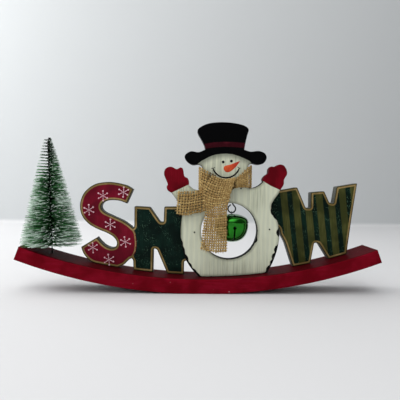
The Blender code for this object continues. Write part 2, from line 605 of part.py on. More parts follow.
def main():
    clear_scene()
    red_paint = material("rocker_paint", (0.16, 0.005, 0.02), 0.4)
    cream = material("snowman_paint", (0.46, 0.48, 0.36), 0.6)
    red_letters = material("letter_sn_paint", (0.14, 0.006, 0.02), 0.5)
    green_letters = material("letter_w_paint", (0.01, 0.03, 0.02), 0.5)
    steel = material("steel_wire", (0.45, 0.45, 0.47), 0.35, 1.0)
    black_wire = material("black_wire", (0.02, 0.02, 0.02), 0.4, 1.0)
    green_metal = material("bell_green", (0.02, 0.25, 0.02), 0.22, 1.0)
    burlap = material("burlap", (0.30, 0.17, 0.07), 0.95)
    bristle = material("bristle", (0.03, 0.10, 0.05), 0.8)

    rocker = rocker_base(red_paint)
    snowman = snowman_board(cream)
    letters_sn = letter_board_sn(red_letters)
    letters_w = letter_board_w(green_letters)
    base_screws(steel, [rocker, snowman, letters_sn, letters_w])
    brad_nails(black_wire, [snowman, letters_sn, letters_w])
    tree_wire_stem(black_wire, rocker)
    tree_bristles(bristle)
    burlap_scarf(burlap)

    screw_eye(black_wire)
    side_pivot = empty("side_swing_pivot", EYE_X, SNOWMAN_MID, EYE_Z)
    tip_pivot = empty("fore_aft_pivot", EYE_X, SNOWMAN_MID, LOOP_Z, side_pivot)
    pellet_pivot = empty("pellet_pivot", EYE_X, SNOWMAN_MID, PELLET_PIVOT_Z, tip_pivot)
    attach(bell_loop(steel), side_pivot)
    attach(bell_top_shell(green_metal), tip_pivot)
    attach(bell_bottom_shell(green_metal), tip_pivot)
    attach(bell_pellet(steel), pellet_pivot)


main()
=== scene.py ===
"""Looks of the rocking winter decoration: painted cut-out boards, a woven burlap scarf, a
hanging green bell and a frosted bottle-brush tree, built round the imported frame.

Sizes are in millimetres and are turned into metres when a mesh is made.
"""

import math

import bmesh
import bpy
import numpy as np
from mathutils import Matrix, Vector
from mathutils.geometry import delaunay_2d_cdt


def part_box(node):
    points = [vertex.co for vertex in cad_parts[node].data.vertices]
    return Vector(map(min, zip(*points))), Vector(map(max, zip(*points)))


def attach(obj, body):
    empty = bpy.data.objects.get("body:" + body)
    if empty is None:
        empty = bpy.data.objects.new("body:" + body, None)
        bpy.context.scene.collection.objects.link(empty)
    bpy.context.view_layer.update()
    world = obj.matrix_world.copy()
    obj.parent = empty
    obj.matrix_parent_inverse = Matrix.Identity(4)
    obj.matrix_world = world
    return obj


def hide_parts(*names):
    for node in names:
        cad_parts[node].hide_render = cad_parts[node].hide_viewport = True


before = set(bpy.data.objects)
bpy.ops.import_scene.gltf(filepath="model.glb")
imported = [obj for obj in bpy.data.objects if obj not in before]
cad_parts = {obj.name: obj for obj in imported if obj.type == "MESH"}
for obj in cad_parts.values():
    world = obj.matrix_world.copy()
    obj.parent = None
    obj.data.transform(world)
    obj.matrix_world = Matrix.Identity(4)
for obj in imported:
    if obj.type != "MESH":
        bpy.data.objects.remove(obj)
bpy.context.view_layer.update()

MM = 0.001
SEED = 20


def node_box(name):
    """Lowest and highest corner of a CAD node, in mm."""
    low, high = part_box(name)
    return np.array(low) / MM, np.array(high) / MM


BOARD_FRONT = node_box("snowman_board")[0][1]
LETTER_FRONT = node_box("letter_board_sn")[0][1]
TREE_LEFT = node_box("tree_bristles")[0][0]
BELL_LOW, BELL_HIGH = node_box("bell_bottom_shell")
CAP_LOW, CAP_HIGH = node_box("bell_top_shell")
STEM_LOW, STEM_HIGH = node_box("tree_wire_stem")


def new_object(name, data):
    """An object that is in the scene."""
    obj = bpy.data.objects.new(name, data)
    bpy.context.scene.collection.objects.link(obj)
    return obj


# ---- the camera ----
CAMERA_PLACE = (-13.645, -416.719, 108.591)
CAMERA_YAW, CAMERA_PITCH, CAMERA_ROLL = 1.783, -2.030, 0.814     # degrees
LENS, SENSOR = 36.0, 36.0


def add_camera():
    """A level product view from the front, turned and rolled by a degree or two."""
    yaw, pitch, roll = (math.radians(a) for a in (CAMERA_YAW, CAMERA_PITCH, CAMERA_ROLL))
    level = math.cos(pitch)
    ahead = Vector((math.sin(yaw) * level, math.cos(yaw) * level, math.sin(pitch)))
    right = Vector((math.cos(yaw), -math.sin(yaw), 0))
    up = right.cross(ahead)
    x = math.cos(roll) * right + math.sin(roll) * up
    y = -math.sin(roll) * right + math.cos(roll) * up
    data = bpy.data.cameras.new("camera")
    data.lens, data.sensor_width = LENS, SENSOR
    data.clip_start, data.clip_end = 0.01, 20.0
    camera = new_object("camera", data)
    turn = Matrix((x, y, -ahead)).transposed()
    camera.matrix_world = Matrix.Translation(Vector(CAMERA_PLACE) * MM) @ turn.to_4x4()
    bpy.context.scene.camera = camera


# ---- materials ----
def srgb(red, green, blue):
    """Linear colour of an 8-bit one."""
    return tuple(c / 12.92 if c <= 0.04045 else ((c + 0.055) / 1.055) ** 2.4
                 for c in (red / 255, green / 255, blue / 255)) + (1.0,)


class Look:
    """A material whose node tree is written as plain calls. Coordinates are in mm."""

    def __init__(self, name, roughness=0.5, metallic=0.0, **uniform):
        self.material = bpy.data.materials.new(name)
        self.material.use_nodes = True
        self.tree = self.material.node_tree
        self.shader = self.tree.nodes["Principled BSDF"]
        self.shader.inputs["Roughness"].default_value = roughness
        self.shader.inputs["Metallic"].default_value = metallic
        for socket, value in uniform.items():
            self.shader.inputs[socket.replace("_", " ")].default_value = value
        self.place = self.new("ShaderNodeTexCoord").outputs["Object"]

    def new(self, kind, **settings):
        node = self.tree.nodes.new(kind)
        for key, value in settings.items():
            setattr(node, key, value)
        return node

    def put(self, value, socket):
        """Sets a socket, or links it to another one or to the mesh attribute of that name."""
        if isinstance(value, str):
            value = self.new("ShaderNodeAttribute", attribute_name=value).outputs["Fac"]
        if isinstance(value, bpy.types.NodeSocket):
            self.tree.links.new(value, socket)
        elif value is not None:
            socket.default_value = value

    def math(self, operation, a, b=None, c=None):
        node = self.new("ShaderNodeMath", operation=operation)
        for value, socket in zip((a, b, c), node.inputs):
            self.put(value, socket)
        return node.outputs[0]

    def times(self, a, b, plus=None):
        """a times b, and plus a third value where one is given."""
        return self.math("MULTIPLY" if plus is None else "MULTIPLY_ADD", a, b, plus)

    def scaled(self, per_mm):
        """The place times features per mm: one number, or one for each axis."""
        node = self.new("ShaderNodeVectorMath", operation="MULTIPLY")
        self.put(self.place, node.inputs[0])
        node.inputs[1].default_value = [s / MM for s in np.broadcast_to(per_mm, 3)]
        return node.outputs[0]

    def axis(self, letter):
        """One coordinate of the place, in mm."""
        split = self.new("ShaderNodeSeparateXYZ")
        self.put(self.scaled(1), split.inputs[0])
        return split.outputs[letter]

    def texture(self, kind, where, **inputs):
        node = self.new(kind)
        self.put(where, node.inputs["Vector"])
        for socket, value in inputs.items():
            node.inputs[socket.replace("_", " ")].default_value = value
        return node

    def noise(self, per_mm, detail=3.0, roughness=0.55):
        return self.texture("ShaderNodeTexNoise", self.scaled(per_mm), Scale=1.0, Detail=detail,
                            Roughness=roughness).outputs["Fac"]

    def patches(self, low, high, *noise):
        """Smooth step of a noise, from 0 at low to 1 at high."""
        return self.ramp(self.noise(*noise), low, high)

    def specks(self, per_mm, size):
        """1 inside small round specks, one to a cell, 0 outside."""
        cells = self.texture("ShaderNodeTexVoronoi", self.scaled(per_mm), Scale=1.0)
        return self.ramp(cells.outputs["Distance"], size, size * 0.6)

    def ramp(self, value, low, high):
        """Smooth step: 0 at low, 1 at high, either way round."""
        node = self.new("ShaderNodeMapRange", interpolation_type="SMOOTHSTEP")
        self.put(value, node.inputs["Value"])
        limits = (low, high, 0.0, 1.0) if low < high else (high, low, 1.0, 0.0)
        for socket, limit in zip(("From Min", "From Max", "To Min", "To Max"), limits):
            node.inputs[socket].default_value = limit
        return node.outputs[0]

    def mix(self, factor, a, b, kind="RGBA", first=6, result=2):
        """Mix of two colours; first and result are the sockets of that kind."""
        node = self.new("ShaderNodeMix", data_type=kind)
        for value, i in ((factor, 0), (a, first), (b, first + 1)):
            self.put(value, node.inputs[i])
        return node.outputs[result]

    def blend(self, factor, a, b):
        """Mix of two plain numbers."""
        return self.mix(factor, a, b, "FLOAT", 2, 0)

    def bump(self, height, depth):
        """Relief of that depth in mm; several calls add up."""
        node = self.new("ShaderNodeBump")
        node.inputs["Strength"].default_value = 1.0
        node.inputs["Distance"].default_value = depth * MM
        self.put(height, node.inputs["Height"])
        socket = self.shader.inputs["Normal"]
        if socket.links:
            self.put(socket.links[0].from_socket, node.inputs["Normal"])
        self.put(node.outputs["Normal"], socket)

    def done(self, colour, roughness=None):
        self.put(colour, self.shader.inputs["Base Color"])
        if roughness is not None:
            self.put(roughness, self.shader.inputs["Roughness"])
        return self.material


def stepped(look, value, threshold, softness=0.12):
    """1 where value is over the threshold, with a soft painted edge in mm."""
    return look.ramp(value, threshold - softness, threshold + softness)


def wobble(look, value, amount, per_mm=0.5):
    """A painted line is never exact: value in mm moves by up to about that amount."""
    shift = look.times(look.noise(per_mm, 2.0), 2 * amount, -amount)
    return look.math("ADD", value, shift)


def brushed_paint(look, colour, dark, light, grain=(0.9, 0.9, 0.06)):
    """Colour with brush strokes, along Z unless grain says otherwise: thinner and thicker paint."""
    colour, dark, light = srgb(*colour), srgb(*dark), srgb(*light)
    strokes = look.noise(grain, 4.0, 0.6)
    clouds = look.noise(0.05, 2.0)
    tone = look.mix(look.ramp(strokes, 0.35, 0.75), colour, light)
    return look.mix(look.ramp(clouds, 0.62, 0.38), tone, dark)


def on_front(look):
    """1 on a board's front face, 0 elsewhere."""
    return look.ramp("facing", 0.2, 0.8)


WEAR_REACH = 3.0          # a fully worn place shows the base coat this far in from the edge


def edge_wear(look, reach=0.4):
    """1 where paint has been knocked off, near the edges and more in the worn places."""
    chips = look.noise(0.42, 5.0, 0.7)
    limit = look.times(look.ramp(chips, 0.5, 0.72), reach * 1.6, 0.12)
    worn = look.times("wear", look.ramp(chips, 0.22, 0.44))
    limit = look.times(worn, WEAR_REACH, limit)
    return look.ramp(look.math("SUBTRACT", limit, "edge"), -0.08, 0.1)


def unworn(look, reach=0.4):
    """1 where a flat face still has its paint, 0 on the sides and where it's worn off."""
    flat = look.ramp(look.math("ABSOLUTE", "facing"), 0.35, 0.65)
    return look.times(flat, look.math("SUBTRACT", 1.0, edge_wear(look, reach)))


def wood_relief(look, depth):
    """Long grain of that depth in mm, and fine unevenness."""
    look.bump(look.noise((1.4, 1.4, 0.05), 4.0, 0.65), depth)
    look.bump(look.noise(2.8, 3.0), 0.03)


BLACK = srgb(9, 10, 11)
SNOWMAN_CREAM = srgb(212, 216, 194)


def side_colours(look):
    """Black base coat on the sawn sides, thin enough to show some brown."""
    return look.mix(look.patches(0.52, 0.8, (0.25, 0.25, 2.2), 4.0, 0.7), BLACK, srgb(58, 50, 40))


def snowman_look():
    look = Look("snowman_paint", 0.62, Specular_IOR_Level=0.05)
    sway = look.times(look.noise(0.02, 2.0), 6.0)
    where = look.scaled((1, 1, 0.02))
    lines = look.texture("ShaderNodeTexWave", where, Scale=0.055, Distortion=9.0,
                         Detail=3.0, Detail_Scale=0.35)
    lines.wave_type, lines.bands_direction, lines.wave_profile = "BANDS", "X", "SIN"
    look.put(sway, lines.inputs["Phase Offset"])
    fine = look.noise((1.9, 1.9, 0.025), 4.0, 0.62)
    patchy = look.noise((0.035, 0.035, 0.02), 2.0)
    streaks = look.times(look.ramp(fine, 0.42, 0.66), look.ramp(patchy, 0.36, 0.66))
    grooves = look.patches(0.60, 0.70, (2.2, 2.2, 0.03), 3.0)
    grooves = look.times(grooves, look.ramp(patchy, 0.40, 0.60))
    # painted shade: dark brown on the front face behind the scarf, where the cloth's holes should
    # look shadowed
    scarf_shade_mask = look.times(look.ramp("glued", -0.5, 1.0), on_front(look))
    cream = look.mix(look.ramp(lines.outputs["Fac"], 0.2, 0.9), SNOWMAN_CREAM, srgb(220, 223, 199))
    cream = look.mix(streaks, cream, srgb(164, 168, 144))
    for place, share, tone in ((grooves, 0.42, (118, 120, 92)),
                               (look.ramp("edge", 3.2, 0.3), 0.5, (110, 110, 92)),         # grime
                               (look.ramp("hat", -6.5, -0.3), 0.72, (104, 108, 96)),       # shade
                               # painted shade behind the scarf
                               (scarf_shade_mask, 0.85, (60, 44, 26))):
        cream = look.mix(look.times(place, share), cream, srgb(*tone))

    hat = look.mix(look.patches(0.62, 0.8, 0.8, 5.0, 0.7), srgb(2, 2, 3), srgb(10, 10, 11))
    band = brushed_paint(look, (72, 13, 26), (54, 8, 18), (100, 28, 42), (0.08, 0.9, 0.9))
    mitten = brushed_paint(look, (112, 6, 22), (92, 4, 16), (124, 10, 28))

    colour = look.mix(stepped(look, wobble(look, "mitten", 0.22), 0.0), cream, mitten)
    colour = look.mix(stepped(look, wobble(look, "hat", 0.18), 0.0), colour, hat)
    band_on = look.times(stepped(look, wobble(look, "band", 0.25), 0.0), on_front(look))
    colour = look.mix(band_on, colour, band)
    paint = unworn(look)
    red_side = look.times(stepped(look, "mitten", 0.0), 0.8)
    paint = look.math("MAXIMUM", paint, red_side)
    colour = look.mix(paint, side_colours(look), colour)
    gloss = look.blend(stepped(look, "hat", 0.0), 0.6, 0.42)
    wood_relief(look, 0.16)
    look.bump(paint, 0.10)
    return look.done(colour, gloss)


def letter_look(name, fill):
    """Letters: dark rim, hand-painted tan line, then the fill; grey base coat on the sides."""
    look = Look(name, 0.5, Specular_IOR_Level=0.08)
    border = wobble(look, "border", 0.22, 0.35)
    tan = brushed_paint(look, (150, 127, 82), (120, 100, 58), (172, 148, 98), 0.5)
    inner = fill(look)
    colour = look.mix(stepped(look, border, 2.55, 0.16), tan, inner)
    colour = look.mix(stepped(look, border, 1.0, 0.2), srgb(64, 58, 32), colour)
    colour = look.mix(look.ramp("facing", -0.4, -0.9), colour, inner)
    grey = look.patches(0.4, 0.75, (0.3, 2.0, 0.3), 4.0, 0.7)
    sides = look.mix(grey, srgb(64, 66, 60), srgb(112, 114, 108))
    colour = look.mix(unworn(look, 0.3), sides, colour)
    wood_relief(look, 0.07)
    look.bump(look.ramp(border, 0.9, 1.1), 0.06)
    look.bump(look.ramp(border, 2.45, 2.65), 0.08)
    return look.done(colour, look.blend(look.noise(0.3), 0.42, 0.6))


def glitter(look, colour, amount):
    """Pale flecks and short scratches in dark green paint."""
    fine = look.times(look.specks(0.9, 0.22), look.patches(0.44, 0.60, 0.09, 3.0, 0.6))
    colour = look.mix(look.times(fine, 0.75 * amount), colour, srgb(120, 165, 130))
    scratch = look.times(look.patches(0.665, 0.74, (0.75, 0.75, 0.16), 5.0, 0.75),
                         look.patches(0.38, 0.54, 0.07, 2.0))
    return look.mix(look.times(scratch, 0.8 * amount), colour, srgb(128, 150, 118))


def sn_fill(look):
    red = brushed_paint(look, (116, 12, 34), (98, 10, 30), (128, 20, 44), (0.5, 0.5, 0.08))
    scuff = look.patches(0.70, 0.80, (0.4, 0.4, 0.9), 5.0, 0.75)
    red = look.mix(look.times(scuff, 0.35), red, srgb(150, 60, 80))
    green = glitter(look, brushed_paint(look, (6, 29, 23), (3, 20, 15), (13, 43, 33)), 1.3)
    return look.mix(stepped(look, "is_n", 0.5), red, green)


STRIPE_PITCH, STRIPE_DARK, STRIPE_SLANT = 12.5, 5.3, -0.123
STRIPE_START = 412.65       # added so that the stripes' count stays positive


def w_fill(look):
    """Dark green stripes on olive, leaning a little to the left at the top."""
    along = look.times(look.axis("Z"), -STRIPE_SLANT, look.axis("X"))
    along = look.math("ADD", wobble(look, along, 0.35, 0.22), STRIPE_START)
    phase = look.times(look.math("FRACT", look.math("DIVIDE", along, STRIPE_PITCH)), STRIPE_PITCH)
    distance = look.math("ABSOLUTE", look.math("SUBTRACT", phase, STRIPE_PITCH / 2))
    dark = stepped(look, look.math("SUBTRACT", STRIPE_DARK / 2, distance), 0.0, 0.3)
    dark = look.math("MAXIMUM", dark, look.ramp("left_part", -0.4, 0.4))
    olive = brushed_paint(look, (67, 70, 33), (55, 59, 26), (86, 87, 46))
    green = glitter(look, brushed_paint(look, (5, 30, 22), (3, 21, 14), (12, 44, 32)), 2.4)
    return look.mix(dark, olive, green)


def rocker_look():
    look = Look("rocker_paint", 0.45, Specular_IOR_Level=0.02)
    red = brushed_paint(look, (122, 9, 26), (106, 6, 20), (134, 16, 38), (0.05, 0.6, 0.6))
    dust = look.times(look.specks(0.12, 0.10), look.patches(0.5, 0.62, 0.05))
    red = look.mix(look.times(dust, 0.7), red, srgb(205, 150, 150))
    colour = look.mix(look.times(edge_wear(look, 0.22), 0.75), red, srgb(48, 6, 10))
    look.bump(look.noise((0.03, 0.9, 0.9), 4.0, 0.6), 0.06)
    look.bump(look.noise(1.6, 3.0), 0.02)
    return look.done(colour, look.blend(look.noise(0.2), 0.42, 0.56))


def stroke_look(name, colour, thin, roughness):
    """A raised brush stroke whose colour thins in places."""
    look = Look(name, roughness, Specular_IOR_Level=0.15)
    tone = look.mix(look.patches(0.48, 0.75, 1.1, 4.0, 0.7), colour, thin)
    look.bump(look.noise(2.4, 3.0), 0.04)
    return look.done(tone, look.blend(look.noise(0.8), roughness - 0.08, roughness + 0.12))


def carrot_look():
    look = Look("carrot_paint", 0.5, Specular_IOR_Level=0.4)
    light = look.patches(0.4, 0.7, (0.6, 0.6, 0.25), 4.0, 0.7)
    tone = look.mix(light, srgb(206, 66, 18), srgb(226, 92, 34))
    tip = wobble(look, "tip", 0.12)
    tone = look.mix(look.ramp(tip, 0.45, 0.95), tone, srgb(176, 30, 14))
    look.bump(look.noise((1.5, 1.5, 0.4), 4.0, 0.6), 0.10)
    return look.done(tone)


def wire_look(name, colour, roughness, metallic=1.0):
    """Wire and small steel, with rubbed lighter places."""
    look = Look(name, roughness, metallic)
    rubbed = tuple(c * 2.2 for c in colour[:3]) + (1,)
    tone = look.mix(look.patches(0.45, 0.75, 1.2, 4.0, 0.7), colour, rubbed)
    look.bump(look.noise(3.0, 3.0), 0.02)
    return look.done(tone, look.blend(look.noise(0.9, 4.0), roughness - 0.1, roughness + 0.15))


def bell_look():
    look = Look("bell_green", 0.16, 1.0, Coat_Weight=0.38, Coat_Roughness=0.08)
    tone = look.mix(look.patches(0.4, 0.65, 0.09, 3.0), srgb(22, 124, 11), srgb(16, 102, 8))
    scratch = look.patches(0.66, 0.74, (0.5, 0.5, 2.4), 5.0, 0.75)
    tone = look.mix(look.times(scratch, 0.25), tone, srgb(110, 190, 90))
    tone = look.mix("inside", tone, srgb(70, 74, 70))
    look.bump(look.noise(0.22, 2.0), 0.05)
    look.bump(look.noise(2.0, 3.0), 0.004)
    return look.done(tone, look.blend(look.noise(0.6, 4.0), 0.13, 0.24))


def burlap_look():
    """Jute: straw to brown by thread, with fibres along each thread."""
    look = Look("burlap", 0.9, Specular_IOR_Level=0.2, Sheen_Weight=0.25, Sheen_Roughness=0.5)
    look.shader.inputs["Sheen Tint"].default_value = srgb(230, 205, 160)
    across = look.new("ShaderNodeCombineXYZ")
    for i, (name, scale) in enumerate((("along", 0.35), ("around", 9.0), ("tint", 50.0))):
        look.put(look.times(name, scale), across.inputs[i])
    fibres = look.texture("ShaderNodeTexNoise", across.outputs[0], Scale=1.0, Detail=4.0,
                          Roughness=0.65).outputs["Fac"]
    tone = look.mix("tint", srgb(148, 116, 64), srgb(194, 164, 104))
    tone = look.mix(look.ramp(fibres, 0.46, 0.74), tone, srgb(216, 190, 132))
    tone = look.mix(look.ramp(fibres, 0.46, 0.28), tone, srgb(104, 76, 42))
    clouds = look.times(look.patches(0.5, 0.7, 0.11, 3.0), 0.35)
    tone = look.mix(clouds, tone, srgb(126, 94, 52))
    # painted shade on threads that dip under a crossing thread or lie under another layer
    shaded = look.times(look.ramp("under", 0.45, 1.0), 0.80)
    tone = look.mix(shaded, tone, srgb(58, 40, 18))
    look.bump(fibres, 0.22)
    return look.done(tone)


def bristle_look():
    """Dark green fibre with painted shade near the stem, darker towards the top, ending in white
    frost.
    """
    look = Look("bristle", 0.7, Specular_IOR_Level=0.3)
    tone = look.mix("tint", srgb(22, 60, 32), srgb(98, 168, 104))
    # darker towards the top; near the stem, inside the brush, painted shade
    high = look.times(look.ramp(look.axis("Z"), 122.0, 142.0), 0.7)
    dark = look.math("MAXIMUM", look.ramp("out", 6.0, 1.5), high)
    tone = look.mix(dark, tone, srgb(6, 12, 9))
    snow = look.math("ADD", look.math("SUBTRACT", "along", 1.0), "frost")
    snow = look.math("ADD", snow, look.times(look.noise(0.9, 2.0), 0.3, -0.15))
    tone = look.mix(look.ramp(snow, -0.08, 0.12), tone, srgb(226, 240, 230))
    look.bump(look.noise(4.0, 3.0), 0.08)
    return look.done(tone, look.blend(look.ramp(snow, -0.05, 0.1), 0.6, 0.85))


# ---- meshes ----
def mend(mesh, merge=0.0):
    """Turns all faces outwards, after joining the points closer than merge, in metres."""
    bm = bmesh.new()
    bm.from_mesh(mesh)
    if merge:
        bmesh.ops.remove_doubles(bm, verts=bm.verts, dist=merge)
    bmesh.ops.recalc_face_normals(bm, faces=bm.faces)
    bm.to_mesh(mesh)
    bm.free()


def set_values(mesh, name, values):
    """A number for each point, which a look reads by its name."""
    attribute = mesh.attributes.new(name, "FLOAT", "POINT")
    attribute.data.foreach_set("value", np.asarray(values, np.float32))


def make_piece(name, verts, faces, look, body="root", slot=None, attributes=None, smooth=True,
               sharp=None, heal=False):
    """A mesh piece from points in mm, riding on a CAD body."""
    mesh = bpy.data.meshes.new(name)
    mesh.from_pydata((np.asarray(verts, float) * MM).tolist(), [], faces)
    for key, values in attributes.items() if attributes else ():
        set_values(mesh, key, values)
    if heal:
        mend(mesh)
    if smooth:
        mesh.shade_smooth()
    if sharp:
        mesh.set_sharp_from_angle(angle=math.radians(sharp))
    if look:
        mesh.materials.append(look)
    obj = new_object(name, mesh)
    if body:
        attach(obj, body)
    return obj


class Parts:
    """Collects many small closed meshes into one."""

    def __init__(self, *attributes):
        self.verts, self.faces, self.count = [], [], 0
        self.values = {a: [] for a in attributes}

    def add(self, verts, faces, **attributes):
        self.verts.append(np.asarray(verts, float))
        self.faces += [[i + self.count for i in face] for face in faces]
        self.count += len(verts)
        for key, store in self.values.items():
            store.append(np.broadcast_to(attributes[key], (len(verts),)))

    def piece(self, name, look, **kw):
        attributes = {k: np.concatenate(v) for k, v in self.values.items()}
        verts = np.concatenate(self.verts)
        return make_piece(name, verts, self.faces, look, attributes=attributes, **kw)


def circle(radius, sides):
    """Points of a regular polygon round the origin."""
    angles = [2 * math.pi * k / sides for k in range(sides)]
    return [(radius * math.cos(a), radius * math.sin(a)) for a in angles]


def ring_walls(rings, sides):
    """Quads between rings of points that follow one another."""
    faces = []
    for a in range(0, (rings - 1) * sides, sides):
        for j in range(sides):
            k = (j + 1) % sides
            faces.append([a + j, a + k, a + sides + k, a + sides + j])
    return faces


THREAD_SIDES = 6


def tube(points, normals, half_width, half_thick, sides=THREAD_SIDES):
    """A closed thread along points, elliptic, with its flat side towards the normals."""
    points, normals = np.asarray(points, float), np.asarray(normals, float)
    n = len(points)
    ahead = np.gradient(points, axis=0)
    ahead /= np.linalg.norm(ahead, axis=1, keepdims=True) + 1e-12
    across = np.cross(ahead, normals)
    across /= np.linalg.norm(across, axis=1, keepdims=True) + 1e-12
    up = np.cross(across, ahead)
    half_width = np.broadcast_to(half_width, (n,))[:, None, None]
    half_thick = np.broadcast_to(half_thick, (n,))[:, None, None]
    angle = 2 * np.pi * np.arange(sides) / sides
    rings = (points[:, None] + across[:, None] * np.cos(angle)[None, :, None] * half_width
             + up[:, None] * np.sin(angle)[None, :, None] * half_thick)
    ends = [list(range(sides))[::-1], list(range((n - 1) * sides, n * sides))]
    return rings.reshape(-1, 3), ring_walls(n, sides) + ends


def spline(points, per_step):
    """Smooth curve through rows of numbers, with per_step points to each span."""
    points = np.asarray(points, float)
    padded = np.vstack([2 * points[0] - points[1], points, 2 * points[-1] - points[-2]])
    out = []
    for i in range(1, len(padded) - 2):
        p0, p1, p2, p3 = padded[i - 1:i + 3]
        for k in range(per_step):
            t = k / per_step
            out.append(0.5 * (2 * p1 + (p2 - p0) * t + (2 * p0 - 5 * p1 + 4 * p2 - p3) * t * t
                              + (3 * p1 - p0 - 3 * p2 + p3) * t ** 3))
    out.append(points[-1])
    return np.array(out)


def run_lengths(points):
    """How far each point lies along an open run."""
    return np.concatenate([[0], np.cumsum(np.linalg.norm(np.diff(points, axis=0), axis=1))])


def spaced(points, pitch):
    """The same open run with points at about that pitch."""
    points = np.asarray(points, float)
    run = run_lengths(points)
    count = max(2, int(round(run[-1] / pitch)) + 1)
    at = np.linspace(0, run[-1], count)
    return np.stack([np.interp(at, run, points[:, i]) for i in range(points.shape[1])], axis=1)


# ---- outlines read from the CAD boards ----
def outer_edges(faces):
    """The directed edges that belong to one face only."""
    edges = set()
    for face in faces:
        for a, b in zip(face, face[1:] + face[:1]):
            if (b, a) in edges:
                edges.remove((b, a))
            else:
                edges.add((a, b))
    return edges


def face_loops(node, depth):
    """Closed runs of (x, z) round a CAD node's flat face at that Y, in mm."""
    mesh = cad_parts[node].data
    known, index = {}, []
    for p in np.round(np.array([v.co for v in mesh.vertices]) / MM, 2):
        index.append(known.setdefault(tuple(p), len(known)))
    points = list(known)
    faces = [[index[v] for v in face.vertices] for face in mesh.polygons]
    follow = dict(outer_edges(f for f in faces if all(abs(points[i][1] - depth) < 0.03 for i in f)))
    loops = []
    while follow:
        start = next(iter(follow))
        loop = [start]
        step = follow.pop(start)
        while step != start:
            loop.append(step)
            step = follow.pop(step)
        loops.append(np.array([(points[i][0], points[i][2]) for i in loop]))
    return loops


CORNER = math.radians(40)       # an outline that turns more than this has a real corner there
CURVE_STEPS = 6
OUTLINE_PITCH, OUTLINE_INSET = 0.85, 0.1
CHUNK = 1500                    # points handled at a time


def cross(a, b):
    """Cross products of rows of (x, z)."""
    return a[:, 0] * b[:, 1] - a[:, 1] * b[:, 0]


def signed_area(loop):
    return 0.5 * cross(loop, np.roll(loop, -1, axis=0)).sum()


def loop_normals(loop):
    """Unit vectors to the left of a closed run."""
    tangent = np.roll(loop, -1, axis=0) - np.roll(loop, 1, axis=0)
    tangent /= np.linalg.norm(tangent, axis=1, keepdims=True) + 1e-12
    return np.stack([-tangent[:, 1], tangent[:, 0]], axis=1)


def even_run(run):
    """Splits straight segments that are much longer than their neighbours."""
    length = np.linalg.norm(np.diff(run, axis=0), axis=1)
    near = np.minimum(np.append(length[1:], length[-1:]), np.insert(length[:-1], 0, length[0]))
    out = [run[:1]]
    for a, b, own, other in zip(run, run[1:], length, near):
        count = max(1, int(round(own / (1.6 * other))))
        out.append(a + (b - a) * (np.arange(1, count + 1) / count)[:, None])
    return np.vstack(out)


def smooth_loop(loop):
    """Resamples a closed outline as smooth curves between its real corners, moved in a hair."""
    ahead = np.roll(loop, -1, axis=0) - loop
    behind = loop - np.roll(loop, 1, axis=0)
    turn = np.abs(np.arctan2(cross(behind, ahead), (ahead * behind).sum(1)))
    corners = list(np.nonzero(turn > CORNER)[0])
    curves = []
    for a, b in zip(corners, corners[1:] + [c + len(loop) for c in corners[:1]]):
        run = loop[[i % len(loop) for i in range(a, b + 1)]]
        curves.append(spline(even_run(run), CURVE_STEPS) if len(run) > 2 else run)
    if not corners:
        wrapped = spline(np.vstack([loop[-2:], loop, loop[:3]]), CURVE_STEPS)
        curves.append(wrapped[2 * CURVE_STEPS:-2 * CURVE_STEPS])
    out = np.vstack([spaced(curve, OUTLINE_PITCH)[:-1] for curve in curves])
    return out + loop_normals(out) * OUTLINE_INSET


def segment_distance(points, starts, ends):
    """Distance of each point to the nearest of the segments."""
    d = ends - starts
    length2 = (d ** 2).sum(1) + 1e-12
    out = np.empty(len(points))
    for i in range(0, len(points), CHUNK):
        p = points[i:i + CHUNK, None] - starts[None]
        t = np.clip((p * d[None]).sum(2) / length2[None], 0, 1)
        out[i:i + CHUNK] = np.sqrt((((p - t[..., None] * d[None]) ** 2).sum(2)).min(1))
    return out


def loops_distance(points, loops):
    ends = np.vstack([np.roll(l, -1, axis=0) for l in loops])
    return segment_distance(points, np.vstack(loops), ends)


def inside(points, loops):
    """Even-odd test against closed runs."""
    out = np.zeros(len(points), bool)
    for loop in loops:
        (ax, az), (bx, bz) = loop.T[:, None], np.roll(loop, -1, axis=0).T[:, None]
        for i in range(0, len(points), CHUNK):
            x, z = points[i:i + CHUNK].T[:, :, None]
            at = ax + (z - az) / (bz - az + 1e-12) * (bx - ax)
            crosses = ((az > z) != (bz > z)) & (x < at)
            out[i:i + CHUNK] ^= (crosses.sum(1) % 2).astype(bool)
    return out


def region(points, polygon):
    """Signed distance to a closed polygon, positive inside."""
    polygon = np.asarray(polygon, float)
    away = loops_distance(points, [polygon])
    return np.where(inside(points, [polygon]), away, -away)


EASE = 0.6                      # radius of the sanded edges
RINGS = (0.18, 0.45, 0.95)      # how far in the rows of points lie that follow the outline
CORNER_PASSES = 3               # a triangle with all corners on the outline gets a middle point
SMALL_LOOP = 9.0                # shorter runs are nail holes, which the nails' heads cover
WALL_STEP = 2.0                 # between the rows of points on the sides


def board_outline(node, depth):
    """A board's outline, then its openings, all with the wood on their left."""
    loops = [l for l in face_loops(node, depth)
             if np.linalg.norm(l - np.roll(l, 1, axis=0), axis=1).sum() > SMALL_LOOP]
    loops.sort(key=lambda l: -abs(signed_area(l)))
    return [smooth_loop(l if (signed_area(l) > 0) == (i == 0) else l[::-1])
            for i, l in enumerate(loops)]


def face_points(loops, pitch):
    """The outline's points, rows that follow it, and an even grid inside them."""
    rows = []
    for loop in loops:
        for depth in RINGS:
            moved = loop + loop_normals(loop) * depth
            clear = loops_distance(moved, loops) > depth * 0.92
            rows.append(moved[clear & inside(moved, loops)])
    low, high = loops[0].min(0), loops[0].max(0)
    xs, zs = np.arange(low[0], high[0], pitch), np.arange(low[1], high[1], pitch * 0.866)
    grid = np.array([(x + (pitch / 2 if j % 2 else 0), z) for j, z in enumerate(zs) for x in xs])
    grid = grid[inside(grid, loops)]
    return np.vstack(loops + rows + [grid[loops_distance(grid, loops) > RINGS[-1] + pitch * 0.45]])


